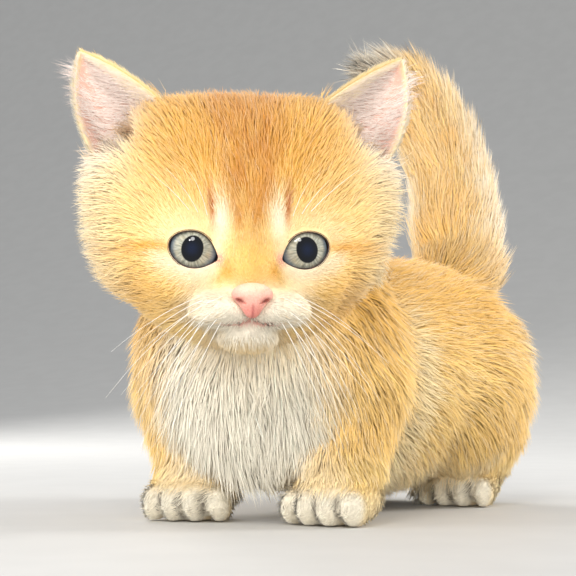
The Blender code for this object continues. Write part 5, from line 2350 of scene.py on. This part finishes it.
@dataclass(frozen=True)
class Whiskers:
    """The long white hairs of the muzzle and brows."""

    anatomy: Anatomy
    tree: WhiskerTree = WhiskerTree()
    brows: int = 3
    points: int = 18
    seed: int = 8

    def line(self, start: Vector, way: Vector, sag: Vector, length: float) -> list[Vector]:
        """The points of one hair, in the head's frame.

        Args:
            start: Its root.
            way: The way that it leaves the skin.
            sag: The way that it bends.
            length: Its length.

        Returns:
            The points, from the root to the tip.
        """
        shares = [index / (self.points - 1) for index in range(self.points)]
        way = way.normalized()
        return [start + way * (length * s) + sag * (length * s * s) for s in shares]

    def build(self, material: Material) -> Object:
        """Makes all whiskers as one piece.

        Args:
            material: Their finish.

        Returns:
            The piece, in the maker's frame.
        """
        rng = np.random.default_rng(self.seed)
        bm = bmesh.new()
        for side in SIDES.values():
            lines = []
            for index, (x, y, z) in enumerate(WHISKER_ROOTS):
                row, column = divmod(index, 3)
                start = Vector((side * (0.0070 + x), -0.0335 + y, -0.0172 + z))
                out, back, down = 0.80 - 0.09 * row, -0.32 + 0.22 * column, -0.30 - 0.20 * row
                sag, length = Vector((0.0, 0.20, -0.26)), rng.uniform(0.019, 0.027) + 0.0025 * row
                lines.append(self.line(start, Vector((side * out, back, down)), sag, length))
            for brow in range(self.brows):
                start = Vector((side * (0.0105 + 0.0022 * brow), -0.0262, 0.0022 + 0.0006 * brow))
                way = Vector((side * (0.20 + 0.25 * brow), -0.50, 0.85))
                sag, length = Vector((side * 0.15, 0.25, -0.05)), rng.uniform(0.010, 0.017)
                lines.append(self.line(start, way, sag, length))
            for line in lines:
                verts = [bm.verts.new(self.anatomy.head_matrix() @ place) for place in line]
                for pair in itertools.pairwise(verts):
                    bm.edges.new(pair)
        return self.tree.grow(new_object("whiskers", mesh_of(bm)), material)


@dataclass(frozen=True)
class Lamp:
    """One soft, round light that looks at the kitten, and whether its shape shows in the eyes."""

    name: str
    place: Triple
    size: float
    power: float
    colour: Triple = (1.0, 1.0, 1.0)
    reflected: bool = False

    def hang(self, target: Vector) -> None:
        """Hangs the light, turned to a target."""
        lamp = bpy.data.lights.new(self.name, "AREA")
        lamp.shape = "DISK"
        lamp.size = self.size
        lamp.energy = self.power
        lamp.color = self.colour
        obj = new_object(self.name, lamp)
        obj.location = self.place
        obj.rotation_euler = (Vector(self.place) - target).to_track_quat("Z", "Y").to_euler()
        obj.visible_glossy = self.reflected


LAMPS = (
    Lamp("key", (0.25, -0.95, 0.80), 0.34, 4.2, (1.0, 0.985, 0.96), True),
    Lamp("window", (0.02, -1.00, 0.66), 0.14, 1.6, reflected=True),
    Lamp("low_front", (0.52, -0.85, 0.12), 0.70, 6.4, (1.0, 0.975, 0.93)),
    Lamp("fill", (-0.70, -0.68, 0.35), 0.70, 6.0, (0.98, 0.985, 1.0)),
    Lamp("rim_left", (0.75, 0.55, 0.50), 0.45, 8.0),
    Lamp("rim_right", (-0.70, 0.60, 0.55), 0.45, 6.5),
)


@dataclass(frozen=True)
class Studio:
    """The pale floor, the soft lights and the camera."""

    shift: Vector
    lens: float = 96.1
    camera_place: Triple = (0.1772, -0.3749, 0.030)
    azimuth: float = math.radians(25.0)
    pitch: float = math.radians(4.54)
    floor_tint: Shade = (196, 194, 190)
    sky_strength: float = 0.64
    sweep: float = 2.4
    half_width: float = 4.0

    def floor(self) -> Object:
        """Lays the floor, which curves up into a backdrop far behind."""
        bm = bmesh.new()
        rows, level, grid = 40, 8, []
        for row in range(rows + 1):
            turn = math.radians(90.0) * max(0.0, (row - level) / (rows - level))
            away = -3.0 + 0.45 * row if row <= level else 0.6 + self.sweep * math.sin(turn)
            high = self.sweep * (1.0 - math.cos(turn))
            places = (-self.half_width, 0.0, self.half_width)
            grid.append([bm.verts.new((across, away, high)) for across in places])
        for first, second in itertools.pairwise(grid):
            for left, right in itertools.pairwise(zip(first, second)):
                bm.faces.new((left[0], right[0], right[1], left[1]))
        obj = new_object("studio_floor", mesh_of(bm))
        obj.data.shade_smooth()
        desk = Desk("floor_paper")
        grains = desk.noise(desk.place(), 40.0, 4.0)
        near = tuple(int(value * 0.985) for value in self.floor_tint)
        desk.set(
            Base_Color=desk.mix(grains.between(0.3, 0.7), tint(*self.floor_tint), tint(*near)),
            Roughness=0.62,
            Specular_IOR_Level=0.3,
        )
        obj.data.materials.append(desk.material)
        obj.visible_glossy = False
        return obj

    def camera(self) -> None:
        """Sets the camera where the photograph was taken from."""
        data = bpy.data.cameras.new("camera")
        data.lens = self.lens
        data.sensor_width = 36.0
        data.clip_start = 0.01
        obj = new_object("camera", data)
        obj.location = Vector(self.camera_place) + self.shift
        level = math.cos(self.pitch)
        across, away = -math.sin(self.azimuth) * level, math.cos(self.azimuth) * level
        ahead = Vector((across, away, math.sin(self.pitch)))
        obj.rotation_euler = ahead.to_track_quat("-Z", "Y").to_euler()
        bpy.context.scene.camera = obj

    def build(self) -> None:
        """Sets up the whole studio."""
        world = bpy.data.worlds.new("studio_air")
        world.use_nodes = True
        air = world.node_tree.nodes["Background"]
        air.inputs["Color"].default_value = (0.93, 0.96, 1.0, 1.0)
        air.inputs["Strength"].default_value = self.sky_strength
        bpy.context.scene.world = world
        bpy.context.scene.view_settings.view_transform = "Standard"
        for lamp in LAMPS:
            lamp.hang(Vector((0.0, 0.0, 0.07)))
        self.floor()
        self.camera()


def main() -> None:
    """Builds and dresses every piece, then the studio."""
    logging.basicConfig(level=logging.INFO, format="%(message)s")
    anatomy = Anatomy()
    body, marks, ear = Body(anatomy), Markings(anatomy), Ear()
    placement = Placement(anatomy)
    hair = CoatFinish().make()
    form = Skin(body, marks, ear)
    skin = form.build()
    names = coat_of(body, skin)
    coats = [(coat.build(skin, names == coat.name, body, marks), coat.slot) for coat in COATS]
    coats.append((EarCoat(ear, anatomy, marks).build(), "cream_coat"))
    placement.finish(skin, SkinFinish().make(), FLESH_NODES)
    for piece, slot in coats:
        placement.finish(piece, hair)
    wet = EyeFinish().make()
    for side_name in SIDES:
        placement.finish(Eye(anatomy).build(side_name), wet, ("eye_" + side_name,))
    rim = PlainFinish("lid_edge", (40, 27, 24), (78, 52, 46), 700.0, 0.30)
    placement.finish(LidRims(form).build(), rim.make())
    placement.finish(Nose(anatomy).build(), NoseFinish().make(), ("nose",))
    bristle = PlainFinish("whisker_white", (236, 232, 222), (250, 248, 242), 300.0, 0.36).make()
    placement.finish(Whiskers(anatomy).build(bristle), bristle)
    Studio(placement.shift()).build()


if __name__ == "__main__":
    main()
